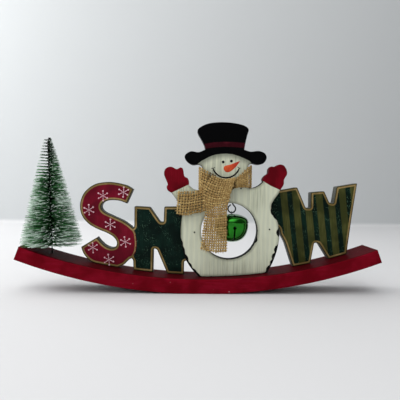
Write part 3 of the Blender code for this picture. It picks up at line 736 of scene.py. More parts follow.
def triangulate(loops, flat):
    """Points and triangles that fill the outline, all turned the same way."""
    edges, start = [], 0
    for n in map(len, loops):
        edges += [(start + i, start + (i + 1) % n) for i in range(n)]
        start += n
    for _ in range(CORNER_PASSES):
        made = delaunay_2d_cdt([Vector(p) for p in flat], edges, [], 0, 1e-5)
        points = np.array([tuple(v) for v in made[0]])
        triangles = np.array([f for f in made[2] if len(f) == 3])
        middle = points[triangles].mean(1)
        kept = inside(middle, loops)
        triangles, middle = triangles[kept], middle[kept]
        on_outline = loops_distance(points, loops) < 1e-3
        corner = on_outline[triangles].all(1) & (loops_distance(middle, loops) > 0.08)
        if not corner.any():
            break
        flat = np.vstack([flat, middle[corner]])
    used, index = np.unique(triangles, return_inverse=True)
    points, triangles = points[used], index.reshape(-1, 3)
    a, b, c = (points[triangles[:, i]] for i in range(3))
    turned = cross(b - a, c - a) < 0
    triangles[turned] = triangles[turned][:, ::-1]
    return points, triangles


def wooden_board(name, node, look, slot, paint=None, pitch=1.15, ease=EASE, wear=()):
    """A cut-out board: dense faces with sanded edges, so that paint can follow regions."""
    low, high = node_box(node)
    loops = board_outline(node, low[1])
    points, triangles = triangulate(loops, face_points(loops, pitch))
    open_edges = outer_edges(triangles.tolist())
    rim = sorted({i for e in open_edges for i in e})
    rim_at = {v: k for k, v in enumerate(rim)}

    away = loops_distance(points, loops)
    away[rim] = 0.0
    lift = ease - np.sqrt(np.maximum(ease ** 2 - (ease - np.minimum(away, ease)) ** 2, 0))
    steps = max(3, int((high[1] - low[1]) / WALL_STEP))
    depths = np.linspace(low[1] + ease, high[1] - ease, steps + 1)[1:-1]
    flat = np.vstack([points, points] + [points[rim]] * len(depths))
    y = np.concatenate([low[1] + lift, high[1] - lift, np.repeat(depths, len(rim))])
    n = len(points)
    walls = np.arange(2 * n, len(flat)).reshape(len(depths), -1)
    faces = triangles.tolist() + (triangles[:, ::-1] + n).tolist()
    columns = np.vstack([rim, walls, np.array(rim) + n]).tolist()
    for p, q in open_edges:
        i, j = rim_at[p], rim_at[q]
        faces += [[one[j], one[i], two[i], two[j]] for one, two in zip(columns, columns[1:])]

    front = np.ones(n)
    front[rim] = 0.0
    edge = np.concatenate([away, away, np.zeros(walls.size)])
    worn = np.zeros(len(flat))
    for x, z, reach, amount in wear:
        worn = np.maximum(worn, amount * np.exp(-(((flat - (x, z)) / reach) ** 2).sum(1)))
    facing = np.concatenate([front, -front, np.zeros(walls.size)])
    attributes = {"facing": facing, "edge": edge, "wear": worn}
    if paint:
        attributes.update(paint(flat, edge))
    piece = make_piece(name, np.column_stack([flat[:, 0], y, flat[:, 1]]), faces, look, slot=slot,
                       attributes=attributes, sharp=50)
    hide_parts(node)
    return piece


# ---- what is painted on the boards ----
# where the black base coat shows through at the snowman's edges: x, z, reach, amount
SNOWMAN_WEAR = ((80.2, 61.5, 3.2, 1.5), (78.2, 44.5, 3.4, 1.6), (75.8, 37.0, 4.0, 1.3),
                (74.0, 31.0, 3.0, 1.2), (71.2, 24.0, 4.0, 1.5), (74.5, 82.0, 3.0, 1.1),
                (77.0, 78.0, 3.0, 0.9), (57.6, 53.6, 1.8, 0.8), (-20.8, 76.0, 12.0, 0.22),
                (-19.8, 49.5, 3.0, 0.8), (-17.0, 42.0, 5.0, 0.7), (-14.4, 34.0, 4.0, 1.3),
                (-10.6, 27.0, 4.0, 1.0), (-6.0, 20.5, 4.0, 1.1), (-2.6, 17.0, 3.0, 1.1))
BRIM_EDGE = [(-3.4, 131.4), (0.2, 134.0), (4.2, 136.2), (8.6, 138.6), (13.6, 140.4),
             (19.4, 141.4), (25.3, 141.7), (31.2, 141.4), (39.0, 139.2), (45.0, 136.7),
             (49.4, 134.6), (51.0, 132.6)]
HAT = ([(-20, 128.2), (-12, 127), (-6, 126)] + BRIM_EDGE
       + [(54, 128), (63, 129.5), (69.5, 133), (69.5, 190), (-20, 190)])
BAND = [(0, 151.6), (3.3, 151.4), (12, 153.0), (22.7, 153.8), (34, 153.7), (43.7, 152.9),
        (48, 152.4), (48, 147.4), (43.8, 147.9), (34, 148.6), (22.8, 148.7), (12, 147.9),
        (3.7, 146.4), (0, 145.9)]
LEFT_MITTEN = [(-9.0, 111.6), (-12.6, 109.8), (-20.4, 105.9), (-29.0, 101.6), (-45, 94),
               (-45, 140), (-9, 140)]
RIGHT_MITTEN = [(62.0, 115.4), (64.2, 114.0), (71.6, 109.6), (81.2, 105.5), (95, 99), (95, 140),
                (60, 140)]
# painted shade: the board hidden behind the scarf is dark brown, so that the cloth's holes look
# shadowed
SCARF_SHADE_REGION = [(-22.5, 100.2), (-23.5, 82.6), (-6.0, 83.2), (6.0, 88.0), (20.0, 95.5), (31.0, 107.0),
         (44.0, 109.6), (50.0, 110.0), (50.0, 126.0), (43.0, 121.0), (36.0, 115.0), (27.0, 113.6),
         (18.0, 116.6), (8.0, 121.0), (0.0, 123.5), (0.0, 104.2), (-4.0, 101.2)]


def snowman_paint(flat, edge):
    # the region behind the scarf carries painted shade
    regions = {"hat": region(flat, HAT), "band": region(flat, BAND), "glued": region(flat, SCARF_SHADE_REGION)}
    regions["mitten"] = np.maximum(region(flat, LEFT_MITTEN), region(flat, RIGHT_MITTEN))
    return regions


# the right edge of the S, where it is painted over the N
SN_JOIN = [(-71.5, 31.9), (-69.5, 34.2), (-67.3, 38.8), (-66.4, 45.3), (-66.7, 51.4),
           (-67.7, 57.9), (-70.2, 63.4)]


def sn_paint(flat, edge):
    """The S's border also runs down its join with the N."""
    join = np.array(SN_JOIN)
    split = np.interp(flat[:, 1], join[:, 1], join[:, 0])
    to_join = segment_distance(flat, join[:-1], join[1:]) + 0.95
    border = np.where(flat[:, 0] < split, np.minimum(edge, to_join), edge)
    return {"border": border, "is_n": np.clip((flat[:, 0] - split) * 2 + 0.5, -3, 4)}


def w_paint(flat, edge):
    """The W has no stripes left of a slanting line."""
    return {"border": edge, "left_part": 80.5 - flat[:, 0] - (flat[:, 1] - 88) * 0.12}


FRONTWARDS = (0, -1.0, 0)
STROKE_STEP = 0.35
DROP = ((1.0, 0.0), (0.96, 0.45), (0.75, 0.82), (0.4, 1.0))      # shares of its radius and height


def stroke(parts, line, width, height, face_y, taper):
    """A domed strip of paint along (x, z) points on a board's face, thin towards both ends."""
    run = spaced(spline(line, 8) if len(line) > 2 else line, STROKE_STEP)
    t = np.linspace(0, 1, len(run))
    half = width / 2 * np.clip(np.minimum(t, 1 - t) / taper * 0.65 + 0.35, 0, 1)
    points = np.column_stack([run[:, 0], np.full(len(run), face_y), run[:, 1]])
    parts.add(*tube(points, FRONTWARDS, half, height, 8))


def dot(parts, x, z, radius, height, face_y, sides=14):
    """A domed drop of paint, sunk a little into the board."""
    rings = [(radius * r, face_y - height * h) for r, h in DROP] + [(radius, face_y + 0.15)]
    verts = [(x + dx, y, z + dz) for r, y in rings for dx, dz in circle(r, sides)]
    base = len(DROP) * sides
    faces = ring_walls(len(DROP), sides) + [list(range(base - sides, base))]
    for k in range(sides):
        m = (k + 1) % sides
        faces.append([base + k, base + m, m, k])
    faces.append(list(range(base, base + sides))[::-1])
    parts.add(verts, faces)


SNOWFLAKES = ((-101.4, 96.8, 2), (-80.3, 100.8, -4), (-115.9, 81.9, 4), (-93.8, 67.0, 0),
              (-78.1, 48.8, 8), (-111.6, 42.6, 3), (-94.9, 30.0, 6))
ARM = 5.2


def add_snowflakes():
    rng = np.random.default_rng(SEED + 2)
    parts = Parts()
    for x, z, tilt in SNOWFLAKES:
        for k in range(6):
            angle = math.radians(90 + tilt + 60 * k + rng.uniform(-3, 3))
            reach = ARM * rng.uniform(0.93, 1.05)
            tip = (x + reach * math.cos(angle), z + reach * math.sin(angle))
            stroke(parts, [(x, z), tip], rng.uniform(0.66, 0.8), 0.22, LETTER_FRONT, 0.5)
            dot(parts, *tip, rng.uniform(0.78, 0.95), 0.42, LETTER_FRONT)
    look = stroke_look("snowflake_paint", srgb(240, 198, 208), srgb(218, 150, 168), 0.5)
    parts.piece("painted_snowflakes", look, slot="snowman_paint", heal=True)


SMILE_X, SMILE_Z, SMILE_R = 25.2, 131.4, 14.2
EYES = ((22.2, 133.2), (30.6, 134.3))
DIMPLES = ([(9.8, 126.6), (12.0, 126.7), (14.2, 127.8)],
           [(36.6, 128.6), (38.7, 127.3), (40.4, 127.2)])


def snowman_face():
    """Eyes and smile, painted on the head in thick paint."""
    black = Parts()
    for x, z in EYES:
        dot(black, x, z, 1.45, 0.35, BOARD_FRONT, 20)
    angles = np.radians(np.linspace(-159, -18, 25))
    arc = [(SMILE_X + SMILE_R * math.cos(a), SMILE_Z + SMILE_R * math.sin(a)) for a in angles]
    stroke(black, arc, 1.6, 0.2, BOARD_FRONT, 0.04)
    for line in DIMPLES:
        stroke(black, line, 0.8, 0.2, BOARD_FRONT, 0.3)
    look = stroke_look("face_black_paint", srgb(10, 11, 14), srgb(28, 30, 34), 0.4)
    black.piece("painted_eyes_and_smile", look, slot="snowman_paint", heal=True)


CARROT_LOWER = [(22.9, 127.8), (23.0, 125.6), (24.6, 123.4), (27.4, 122.9), (30.4, 124.2),
                (33.8, 127.0), (36.8, 130.4), (39.5, 134.4)]
CARROT_UPPER = [(22.9, 127.8), (23.9, 129.2), (26.2, 129.9), (29.0, 130.5), (32.0, 131.6),
                (34.8, 132.8), (37.4, 133.8), (39.5, 134.4)]


def carrot_nose():
    """A flat painted carrot, thicker along its middle."""
    lower, upper = spline(CARROT_LOWER, 5), spline(CARROT_UPPER, 5)
    n, across = len(lower), 9
    verts, tips, faces = [], [], []
    for front in (1, 0):
        for i in range(n):
            for k in range(across):
                u = k / (across - 1)
                p = lower[i] * (1 - u) + upper[i] * u
                arch = math.sqrt(max(0.0, 1 - (2 * u - 1) ** 2))
                dome = arch * math.sin(math.pi * min(1, (i + 0.2) / n * 1.2) ** 0.6)
                y = BOARD_FRONT - front * (0.12 + 0.42 * max(dome, 0)) + (1 - front) * 0.2
                verts.append((p[0], y, p[1]))
                tips.append(i / (n - 1))
    m = n * across
    for i in range(n - 1):
        for a in range(i * across, (i + 1) * across - 1):
            faces.append([a, a + 1, a + across + 1, a + across])
            faces.append([m + a, m + a + across, m + a + across + 1, m + a + 1])
    border = [*range(0, m, across), *range(m - across + 1, m), *range(m - across - 1, 0, -across),
              *range(across - 2, 0, -1)]
    for a, b in zip(border, border[1:] + border[:1]):
        faces.append([a, b, m + b, m + a])
    piece = make_piece("painted_carrot_nose", verts, faces, carrot_look(), slot="snowman_paint",
                       attributes={"tip": tips}, sharp=60, heal=True)
    mend(piece.data, merge=2e-6)


# ---- the burlap scarf ----
PANEL_PITCH, WRAP_PITCH = 2.45, 2.85        # the cloth is drawn out round the neck
THREAD_HALF, THREAD_THICK = 0.82, 0.42      # half width and half thickness of a thread
OVER = 0.50                                 # how far a thread stands off the cloth's middle
THREAD_VALUES = ("along", "around", "tint", "under")
STATION_STEPS = 16
HALF_WIDTH = 12                             # nominal, for noise and fibres along crosswise threads


class Cloth:
    """A strip given by stations: both edges, a sag downwards and a swell forwards."""

    def __init__(self, stations, width):
        self.curve = spline([[*a, *b, sag, swell] for a, b, sag, swell in stations], STATION_STEPS)
        self.width = width
        self.index = np.arange(len(self.curve))
        self.run = run_lengths(self.place(self.index, np.zeros(len(self.curve))))
        self.length = self.run[-1]

    def covered(self, s, spans):
        """1 at the runs s that lie between the stations of any span, easing to 0 outside."""
        station = np.interp(s, self.run, self.index) / STATION_STEPS
        shares = [np.clip(np.minimum(station - a, b - station) * 3, 0, 1) for a, b in spans]
        return np.max(shares, axis=0)

    def place(self, i, u):
        low = np.clip(np.floor(i).astype(int), 0, len(self.curve) - 2)
        f = (i - low)[:, None]
        row = self.curve[low] * (1 - f) + self.curve[low + 1] * f
        share = ((u + 1) / 2)[:, None]
        bulge = (1 - u ** 2)[:, None] * np.column_stack([np.zeros(len(u)), row[:, 7], row[:, 6]])
        return row[:, 0:3] * (1 - share) + row[:, 3:6] * share - bulge

    def at(self, s, u):
        """Place and normal at run s in mm and share u from -1 to 1 across."""
        s, u = np.broadcast_arrays(np.asarray(s, float), np.asarray(u, float))
        i = np.interp(s, self.run, self.index)
        i_after, i_before = np.minimum(i + 0.5, self.index[-1]), np.maximum(i - 0.5, 0)
        ds = self.place(i_after, u) - self.place(i_before, u)
        du = self.place(i, np.minimum(u + 0.05, 1)) - self.place(i, np.maximum(u - 0.05, -1))
        normal = np.cross(ds, du)
        normal /= np.linalg.norm(normal, axis=1, keepdims=True) + 1e-12
        return self.place(i, u), normal


def slow_noise(rng, s, amount, waves=3, longest=40.0):
    out = np.zeros(len(s))
    for k in range(waves):
        phase = 2 * np.pi * s / (longest / (k + 1)) + rng.uniform(0, 2 * np.pi)
        out += np.sin(phase) * rng.uniform(0.3, 1)
    return out * amount / waves


def weave(parts, cloth, rng, pitch, outward, covered, fray_start=0.0, fray_end=0.0):
    """Real over-and-under threads; outward is 1 or -1, the normal's way to the seen side.
    Between the stations given by covered another layer lies on top; there, and where a thread dips
    under a crossing one, its colour gets painted shade.
    Returns the points of each lengthwise thread, for the fray."""

    def thread(points, normals, half, along, dark):
        around = np.abs(np.arange(THREAD_SIDES) - THREAD_SIDES / 2) / THREAD_SIDES
        parts.add(*tube(points, normals, half, THREAD_THICK), along=np.repeat(along, THREAD_SIDES),
                  around=np.tile(around, len(points)), tint=rng.uniform(0, 1),
                  under=np.repeat(dark, THREAD_SIDES))

    us = np.linspace(-0.97, 0.97, max(5, int(round(cloth.width / pitch)) + 1))
    u_pitch = us[1] - us[0]
    first, last = fray_start, cloth.length - fray_end
    picks = int((last - first) / pitch) + 1
    at = first + (last - first) * np.arange(picks) / (picks - 1)
    pitch = at[1] - at[0]
    s = np.linspace(0.0, cloth.length, picks * 4)
    in_cloth = (s > first - pitch * 0.5) & (s < last + pitch * 0.5)
    runs = []
    for k, u in enumerate(us):
        u = np.clip(u + slow_noise(rng, s, 0.035), -1, 1)
        place, normal = cloth.at(s, u)
        near = cloth.at(s, np.clip(u - 0.1, -1, 1))[0]
        spacing = np.linalg.norm(place - near, axis=1) / 0.1 * u_pitch
        half = np.minimum(THREAD_HALF, 0.46 * spacing) * (1 + slow_noise(rng, s, 0.3, 3, 14.0))
        wave = np.where(in_cloth, OVER * np.cos(np.pi * (s - first) / pitch + np.pi * k), 0.0)
        points = place + normal * wave[:, None]
        points[:, 1] += np.where(in_cloth, 0.0, slow_noise(rng, s, 0.5, 2, 9.0))
        start, end = (rng.uniform(0.2, 1.0) * fray for fray in (fray_start, fray_end))
        kept = (s >= first - start) & (s <= last + end)
        # painted shade where the thread dips under, and where another layer covers it
        dark = np.maximum(0.5 - outward * wave / (2 * OVER), cloth.covered(s, covered))
        thread(points[kept], normal[kept], half[kept], s[kept], dark[kept])
        runs.append(points[kept])
    count = len(us) * 4
    for j, s0 in enumerate(at):
        out_left, out_right = rng.uniform(0.02, 0.12, 2)
        u = np.linspace(-1 - out_left, 1 + out_right, count)
        along = u * HALF_WIDTH
        s = np.clip(s0 + slow_noise(rng, along, 0.3, 2, 30.0), 0, cloth.length)
        place, normal = cloth.at(s, np.clip(u, -1, 1))
        over_edge = np.where(np.abs(u) > 1, np.abs(u) - 1, 0) * np.sign(u)
        edge_way = cloth.at(s, 1.0)[0] - cloth.at(s, -1.0)[0]
        place = place + edge_way / 2 * over_edge[:, None]
        wave = -OVER * np.cos(np.pi * (u - us[0]) / u_pitch + np.pi * j)
        wave[np.abs(u) > 1] *= 0.4
        half = THREAD_HALF * (1 + slow_noise(rng, along, 0.3, 3, 12.0)) * rng.uniform(0.85, 1.1)
        # painted shade, as for the lengthwise threads
        dark = np.maximum(0.5 - outward * wave / (2 * OVER), cloth.covered(s, covered))
        thread(place + normal * wave[:, None], normal, half, along, dark)
    return runs


# the tail that points left, passes under the crossing, climbs to the right of the neck, goes
# round the back and comes down to the left of the neck; (upper edge), (lower edge), sag, swell
WRAP = (
    ((-24.2, -11.2, 101.6), (-25.4, -11.2, 80.4), 0, 0),
    ((-13.6, -10.9, 102.2), (-15.4, -10.9, 79.2), 0, 0.3),
    ((-4.8, -11.2, 103.3), (-6.4, -11.4, 81.0), 0, 0.8),
    ((3.4, -12.2, 105.5), (6.4, -13.0, 84.4), 0, 0.8),
    ((14.0, -12.8, 110.5), (20.0, -13.6, 93.0), 0, 0.5),
    ((27.0, -12.4, 115.8), (31.0, -12.8, 105.0), 0, 0.4),
    ((35.6, -12.0, 117.6), (36.0, -12.2, 107.6), 0, 0.5),
    ((42.6, -11.6, 123.2), (43.4, -11.8, 107.9), 0, 0.6),
    ((48.4, -11.0, 128.0), (48.4, -11.0, 108.0), 0, 0.2),
    ((51.0, -8.6, 129.4), (51.0, -8.6, 108.0), 0, 0),
    ((51.4, -3.5, 129.0), (51.4, -3.5, 107.8), 0, 0),
    ((50.6, 1.4, 129.4), (50.6, 1.4, 107.6), 0, 0),
    ((46.5, 3.4, 128.6), (46.5, 3.4, 107.4), 0, 0),
    ((25.0, 3.7, 128.0), (25.0, 3.7, 105.2), 0, -0.3),
    ((3.0, 3.4, 127.0), (3.0, 3.4, 105.6), 0, 0),
    ((-1.2, 1.4, 126.8), (-1.2, 1.4, 105.6), 0, 0),
    ((-1.9, -3.5, 127.0), (-1.9, -3.5, 105.8), 0, 0),
    ((-1.5, -8.6, 126.9), (-1.7, -8.8, 105.4), 0, 0),
    ((1.6, -11.4, 125.2), (-0.4, -11.8, 102.8), 0, 0.3),
    ((7.2, -12.4, 122.6), (3.0, -14.2, 99.8), 0, 0.8),
    ((13.2, -13.2, 119.4), (8.0, -16.0, 97.6), 0, 1.0),
    ((19.0, -13.8, 115.4), (14.5, -16.4, 96.0), 0, 1.0),
)
# the other tail comes up behind the crossing, rolls over under the chin and hangs in front;
# (left edge), (right edge), sag, swell
PANEL = (
    ((10.0, -13.4, 107.0), (29.0, -12.8, 107.0), 0, 0),
    ((10.4, -13.6, 113.5), (31.0, -13.0, 112.5), 1.0, 0.3),
    ((11.4, -15.0, 118.6), (33.4, -13.8, 117.0), 2.4, 0.8),
    ((9.4, -17.4, 116.8), (33.0, -15.4, 115.2), 3.2, 1.4),
    ((6.6, -19.0, 112.0), (31.8, -17.0, 111.0), 4.2, 1.9),
    ((4.6, -20.0, 106.6), (30.2, -18.4, 106.2), 4.4, 1.9),
    ((3.3, -21.0, 100.6), (28.4, -19.9, 100.6), 4.0, 1.8),
    ((2.8, -21.9, 94.2), (26.8, -21.3, 94.6), 3.2, 1.5),
    ((3.2, -22.8, 87.2), (25.4, -22.6, 88.0), 2.2, 1.0),
    ((4.4, -23.7, 79.6), (24.6, -23.8, 80.8), 1.2, 0.4),
    ((3.0, -24.2, 71.0), (24.5, -24.4, 72.0), 0.8, 0.1),
    ((2.0, -24.3, 61.6), (24.7, -24.5, 62.2), 0.4, 0.1),
    ((1.2, -24.1, 52.4), (24.9, -24.4, 52.4), 0.6, 0.2),
    ((0.2, -24.0, 45.2), (24.6, -24.3, 42.8), 1.6, 0.1),
)
WRAP_COVERED, PANEL_COVERED = ((3.4, 6.0), (18.9, 30.0)), ((-9.0, 2.0),)   # stations under a layer
SCARF_WIDTH, WRAP_WIDTH = 25.0, 23.0
SIDE_FRAY, FRONT_FRAY = 1.6, 2.2             # length of the loose ends of the two tails
FRAY_FRONT = -9.4                            # frayed ends stay before the board
ROUND_NECK_FROM = 70.0                       # from here on the wrap's own normals point outwards


def curl(start, way, length, bend, rng, points=6):
    """A loose fibre that leaves start in the direction way and curls."""
    out, place, heading = [np.array(start, float)], np.array(start, float), np.array(way, float)
    heading /= np.linalg.norm(heading) + 1e-12
    for _ in range(points - 1):
        heading = heading + rng.normal(0, bend, 3)
        heading /= np.linalg.norm(heading)
        place = place + heading * length / (points - 1)
        out.append(place)
    return np.array(out)


def add_fibre(parts, line, radius, rng):
    n, thick = len(line), radius * np.linspace(1, 0.45, len(line))
    along, around = np.repeat(np.linspace(0, 4, n), 4), np.tile([0, 0.2, 0.4, 0.2], n)
    parts.add(*tube(line, (0.3, -0.9, 0.3), thick, thick, 4), along=along, around=around,
              tint=rng.uniform(0.2, 1), under=0.0)


def add_scarf():
    rng = np.random.default_rng(SEED)
    look = burlap_look()
    wrap, panel = Cloth(WRAP, WRAP_WIDTH), Cloth(PANEL, SCARF_WIDTH)
    cloth, fray = Parts(*THREAD_VALUES), Parts(*THREAD_VALUES)
    side_runs = weave(cloth, wrap, rng, WRAP_PITCH, -1, WRAP_COVERED, fray_start=SIDE_FRAY)
    front_runs = weave(cloth, panel, rng, PANEL_PITCH, 1, PANEL_COVERED, fray_end=FRONT_FRAY)
    scarf = cloth.piece("burlap_scarf_cloth", look, slot="burlap")
    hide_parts("burlap_scarf")

    for tip, before in [run[:2] for run in side_runs] + [run[:-3:-1] for run in front_runs]:
        for _ in range(3):
            start = tip - (tip - before) * 0.3 + rng.normal(0, 0.15, 3)
            line = curl(start, tip - before, rng.uniform(0.8, 2.6), 0.28, rng)
            line[:, 1] = np.minimum(line[:, 1], FRAY_FRONT)
            add_fibre(fray, line, rng.uniform(0.16, 0.3), rng)
    # stray fibres, most of them near the edges: strip, first run, last run, number
    for strip, first, last, number in ((panel, 30.0, panel.length, 150), (wrap, 0.0, 40.0, 70),
                                       (wrap, 60.0, wrap.length - 15, 120)):
        for _ in range(number):
            s, u = rng.uniform(first, last), rng.choice([-1, 1]) * rng.uniform(0.0, 1.0) ** 0.35
            places, normals = strip.at([s, s, s], [u, np.sign(u), 0.0])
            place, normal, side = places[0], normals[0], places[1] - places[2]
            outward = normal if normal[1] < 0 or s > ROUND_NECK_FROM and strip is wrap else -normal
            way = side / (np.linalg.norm(side) + 1e-9) * (1.0 if abs(u) > 0.9 else 0.3)
            way = way + rng.normal(0, 0.5, 3)
            line = curl(place + outward * 0.7, way, rng.uniform(1.2, 3.6), 0.35, rng)
            if outward[1] < 0:
                line[:, 1] = np.minimum(line[:, 1], place[1] - 0.6)
            add_fibre(fray, line, rng.uniform(0.05, 0.10), rng)
    fringe = fray.piece("burlap_frayed_threads", look, slot="burlap")


# ---- the hanging bell ----
BELL_AXIS = (BELL_LOW + BELL_HIGH)[:2] / 2
BELL_WALL, BELL_FULLNESS = 0.7, 2.4
BELL_TURN = math.radians(5.5)
SLOT_HALF, EYELET_R, EYELET_Z = 0.8, 1.7, 66.8
BELL_SIDES = 128
BULGE_DROP = 2.0            # the lower half is widest this far under the seam
RIM_STANDS_OUT = 0.5        # the rolled rim beyond the wall
LOOP_SLOT, LOOP_SLOT_REACH = ((-0.85, -3.0), (0.85, -3.0), (0.85, 3.0), (-0.85, 3.0)), 3.0


def revolve(profile, axis=BELL_AXIS, sides=BELL_SIDES):
    """Closed shell of (radius, z) turned about an upright axis; both ends may lie on the axis."""
    verts, rings = [], []
    for r, z in profile:
        count = sides if r > 1e-6 else 1
        rings.append([len(verts) + k % count for k in range(sides)])
        verts += [(axis[0] + x, axis[1] + y, z) for x, y in circle(r, count)]
    faces = []
    ends = [] if max(profile[0][0], profile[-1][0]) < 1e-6 else [rings[0]]
    for low, high in zip(rings, rings[1:] + ends):
        for k in range(sides):
            m = (k + 1) % sides
            face = list(dict.fromkeys([low[k], low[m], high[m], high[k]]))
            if len(face) > 2:
                faces.append(face)
    return verts, faces


def dome(radius, height, base, steps, fullness=2.0):
    """From the rim to the pole of half an ellipse or of a fuller curve; downwards if height < 0."""
    power = 2 / fullness
    angles = [math.pi / 2 * k / steps for k in range(steps)]
    run = [(radius * math.cos(a) ** power, base + height * math.sin(a) ** power) for a in angles]
    return run + [(0.0, base + height)]


def cut(obj, tool):
    """Takes the tool's shape out of obj, for good."""
    mod = obj.modifiers.new("cut", "BOOLEAN")
    mod.operation, mod.solver, mod.object = "DIFFERENCE", "EXACT", tool
    bpy.context.view_layer.objects.active = obj
    bpy.context.view_layer.update()
    done = bpy.data.meshes.new_from_object(obj.evaluated_get(bpy.context.evaluated_depsgraph_get()))
    obj.modifiers.clear()
    obj.data = done
    bpy.data.objects.remove(tool)


def prism(outline, reach, turn=0.0):
    """A solid with that (x, z) outline, as deep each way, turned about the bell's axis."""
    n = len(outline)
    c, s = math.cos(turn), math.sin(turn)
    verts = [(BELL_AXIS[0] + c * x - s * y, BELL_AXIS[1] + s * x + c * y, z)
             for y in (-reach, reach) for x, z in outline]
    faces = [list(range(n)), list(range(2 * n - 1, n - 1, -1))]
    faces += [[i, n + i, n + (i + 1) % n, (i + 1) % n] for i in range(n)]
    return make_piece("slot_tool", verts, faces, None, body=None, smooth=False, heal=True)


def keyhole(top, bottom):
    side = math.degrees(math.asin(SLOT_HALF / EYELET_R))
    angles = np.radians(np.linspace(-90 + side, 270 - side, 28))
    points = [(EYELET_R * math.cos(a), top + EYELET_R * math.sin(a)) for a in angles]
    return points + [(-SLOT_HALF, bottom), (SLOT_HALF, bottom)]


def bell_shell(name, inner, outer, look, tools):
    """One half of the bell, with its slots cut; its inner face is marked, as it isn't lacquered."""
    verts, faces = revolve(inner[::-1] + outer)
    shell = make_piece(name, verts, faces, look, body="bell", slot="bell_green", heal=True)
    for tool in tools:
        cut(shell, prism(*tool))
    mesh = shell.data
    centre = np.array((*BELL_AXIS, BELL_HIGH[2] - BULGE_DROP)) * MM
    places = np.array([v.co for v in mesh.vertices])
    normals = np.array([v.normal for v in mesh.vertices])
    set_values(mesh, "inside", ((places - centre) * normals).sum(1) < 0)
    mesh.shade_smooth()
    mesh.set_sharp_from_angle(angle=math.radians(35))
    return shell


def add_bell():
    look = bell_look()
    bottom, seam = BELL_LOW[2], BELL_HIGH[2]
    rim_r = (BELL_HIGH[0] - BELL_LOW[0]) / 2
    radius, bulge = rim_r - RIM_STANDS_OUT, seam - BULGE_DROP
    rolled = [(radius - 0.1, seam), (rim_r - 0.18, seam - 0.02), (rim_r - 0.03, seam - 0.2),
              (rim_r - 0.02, seam - 0.5), (rim_r - 0.15, seam - 0.75), (radius + 0.12, seam - 0.95),
              (radius + 0.02, seam - 1.2)]
    outer = rolled + dome(radius, bottom - bulge, bulge, 28, BELL_FULLNESS)[1:]
    hollow = radius - BELL_WALL
    inner = [(hollow, seam)] + dome(hollow, bottom - bulge + BELL_WALL, bulge, 20, BELL_FULLNESS)
    slot = keyhole(EYELET_Z, bottom - 2)
    tools = [(slot, rim_r + 3, BELL_TURN + i * math.pi / 2) for i in range(2)]
    lower = bell_shell("bell_lower_shell", inner, outer, look, tools)
    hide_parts("bell_bottom_shell")

    base, top = CAP_LOW[2], CAP_HIGH[2]
    cap_r, rise = (CAP_HIGH[0] - CAP_LOW[0]) / 2, top - base
    inner, outer = dome(cap_r - BELL_WALL, rise - BELL_WALL, base, 14), dome(cap_r, rise, base, 20)
    slot = [(x, top + z) for x, z in LOOP_SLOT]
    upper = bell_shell("bell_upper_shell", inner, outer, look, [(slot, LOOP_SLOT_REACH)])
    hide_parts("bell_top_shell")


def add_pellet():
    """A small rolled steel ball, a little faceted by the tumbling."""
    low, high = node_box("bell_pellet")
    centre, radius = (low + high) / 2, (high - low)[0] / 2
    bm = bmesh.new()
    bmesh.ops.create_icosphere(bm, subdivisions=4, radius=1.0)
    ball = np.array([v.co for v in bm.verts])
    faces = [[v.index for v in face.verts] for face in bm.faces]
    bm.free()
    dents = np.random.default_rng(SEED + 5).normal(0, 1, (14, 3))
    dents /= np.linalg.norm(dents, axis=1, keepdims=True)
    dent = np.maximum(ball @ dents.T - 0.955, 0).sum(1)
    verts = centre + ball * radius * (0.995 - dent * 0.5)[:, None]
    look = wire_look("pellet_steel", srgb(120, 120, 124), 0.3)
    pellet = make_piece("steel_pellet", verts, faces, look, body="pellet", slot="zinc_steel")
    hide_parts("bell_pellet")


# ---- the screws' holes ----
# radius, height over the head's underside
SCREW_HOLE = ((0, -6.0), (3.3, -6.0), (3.3, 0.5), (1.6, 2.1), (0, 2.1))


def bore_rocker(rocker):
    """Opens the countersunk holes under the screw heads."""
    holes = Parts()
    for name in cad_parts:
        if name.startswith("base_screw"):
            low, high = node_box(name)
            profile = [(radius, low[2] + rise) for radius, rise in SCREW_HOLE]
            holes.add(*revolve(profile, (low + high) / 2, 32))
    cut(rocker, holes.piece("screw_hole_tool", None, body=None, smooth=False, heal=True))
    rocker.data.set_sharp_from_angle(angle=math.radians(50))


# ---- the bottle-brush tree ----
TREE_AXIS_LOW = np.array((-153.0, 0.0, 38.0))
TREE_AXIS_TIP = np.array((-157.6, 0.0, 156.5))
TREE_LEAN = (TREE_AXIS_LOW - TREE_AXIS_TIP)[0] / (TREE_AXIS_TIP - TREE_AXIS_LOW)[2]
ROW_PITCH = 3.05              # one turn of the left-handed spiral in which the bristles stand
ROW_BRISTLES = 165            # in the widest turn
BRISTLE_STEPS = np.linspace(0, 1, 5)
TREE_REACH, TREE_TUFT = 31.0, 3.0
LOWEST_ROW, HIGHEST_ROW = 45.0, 156.0
SNOWY_BELOW, SNOWY_BAND, LOOSE_BELOW = 62.0, 90.0, 128.0
TREE_FOOT, TREE_TOP = 49.0, 156.5             # heights of the widest tips and of the tip
STEM_R, WIRE_HALF, WIRE_R = 0.5, 0.48, 0.47   # stem's half width; the two wires' offset and radius
WIRE_PITCH = 5.2
ARC_CENTRE_Z, ARC_R = 548.0, 533.3            # the rocker's top
ROCKER_HALF_DEPTH, ROCKER_LEFT = 19.5, -184.0


def tree_radius(z):
    """How far the bristles reach at the height of their tips."""
    t = np.clip((z - TREE_FOOT) / (TREE_TOP - TREE_FOOT), 0, 1)
    return TREE_TUFT + (TREE_REACH - TREE_TUFT) * (1 - t) ** 0.92


def rocker_top_z(x):
    return ARC_CENTRE_Z - np.sqrt(ARC_R ** 2 - x ** 2)


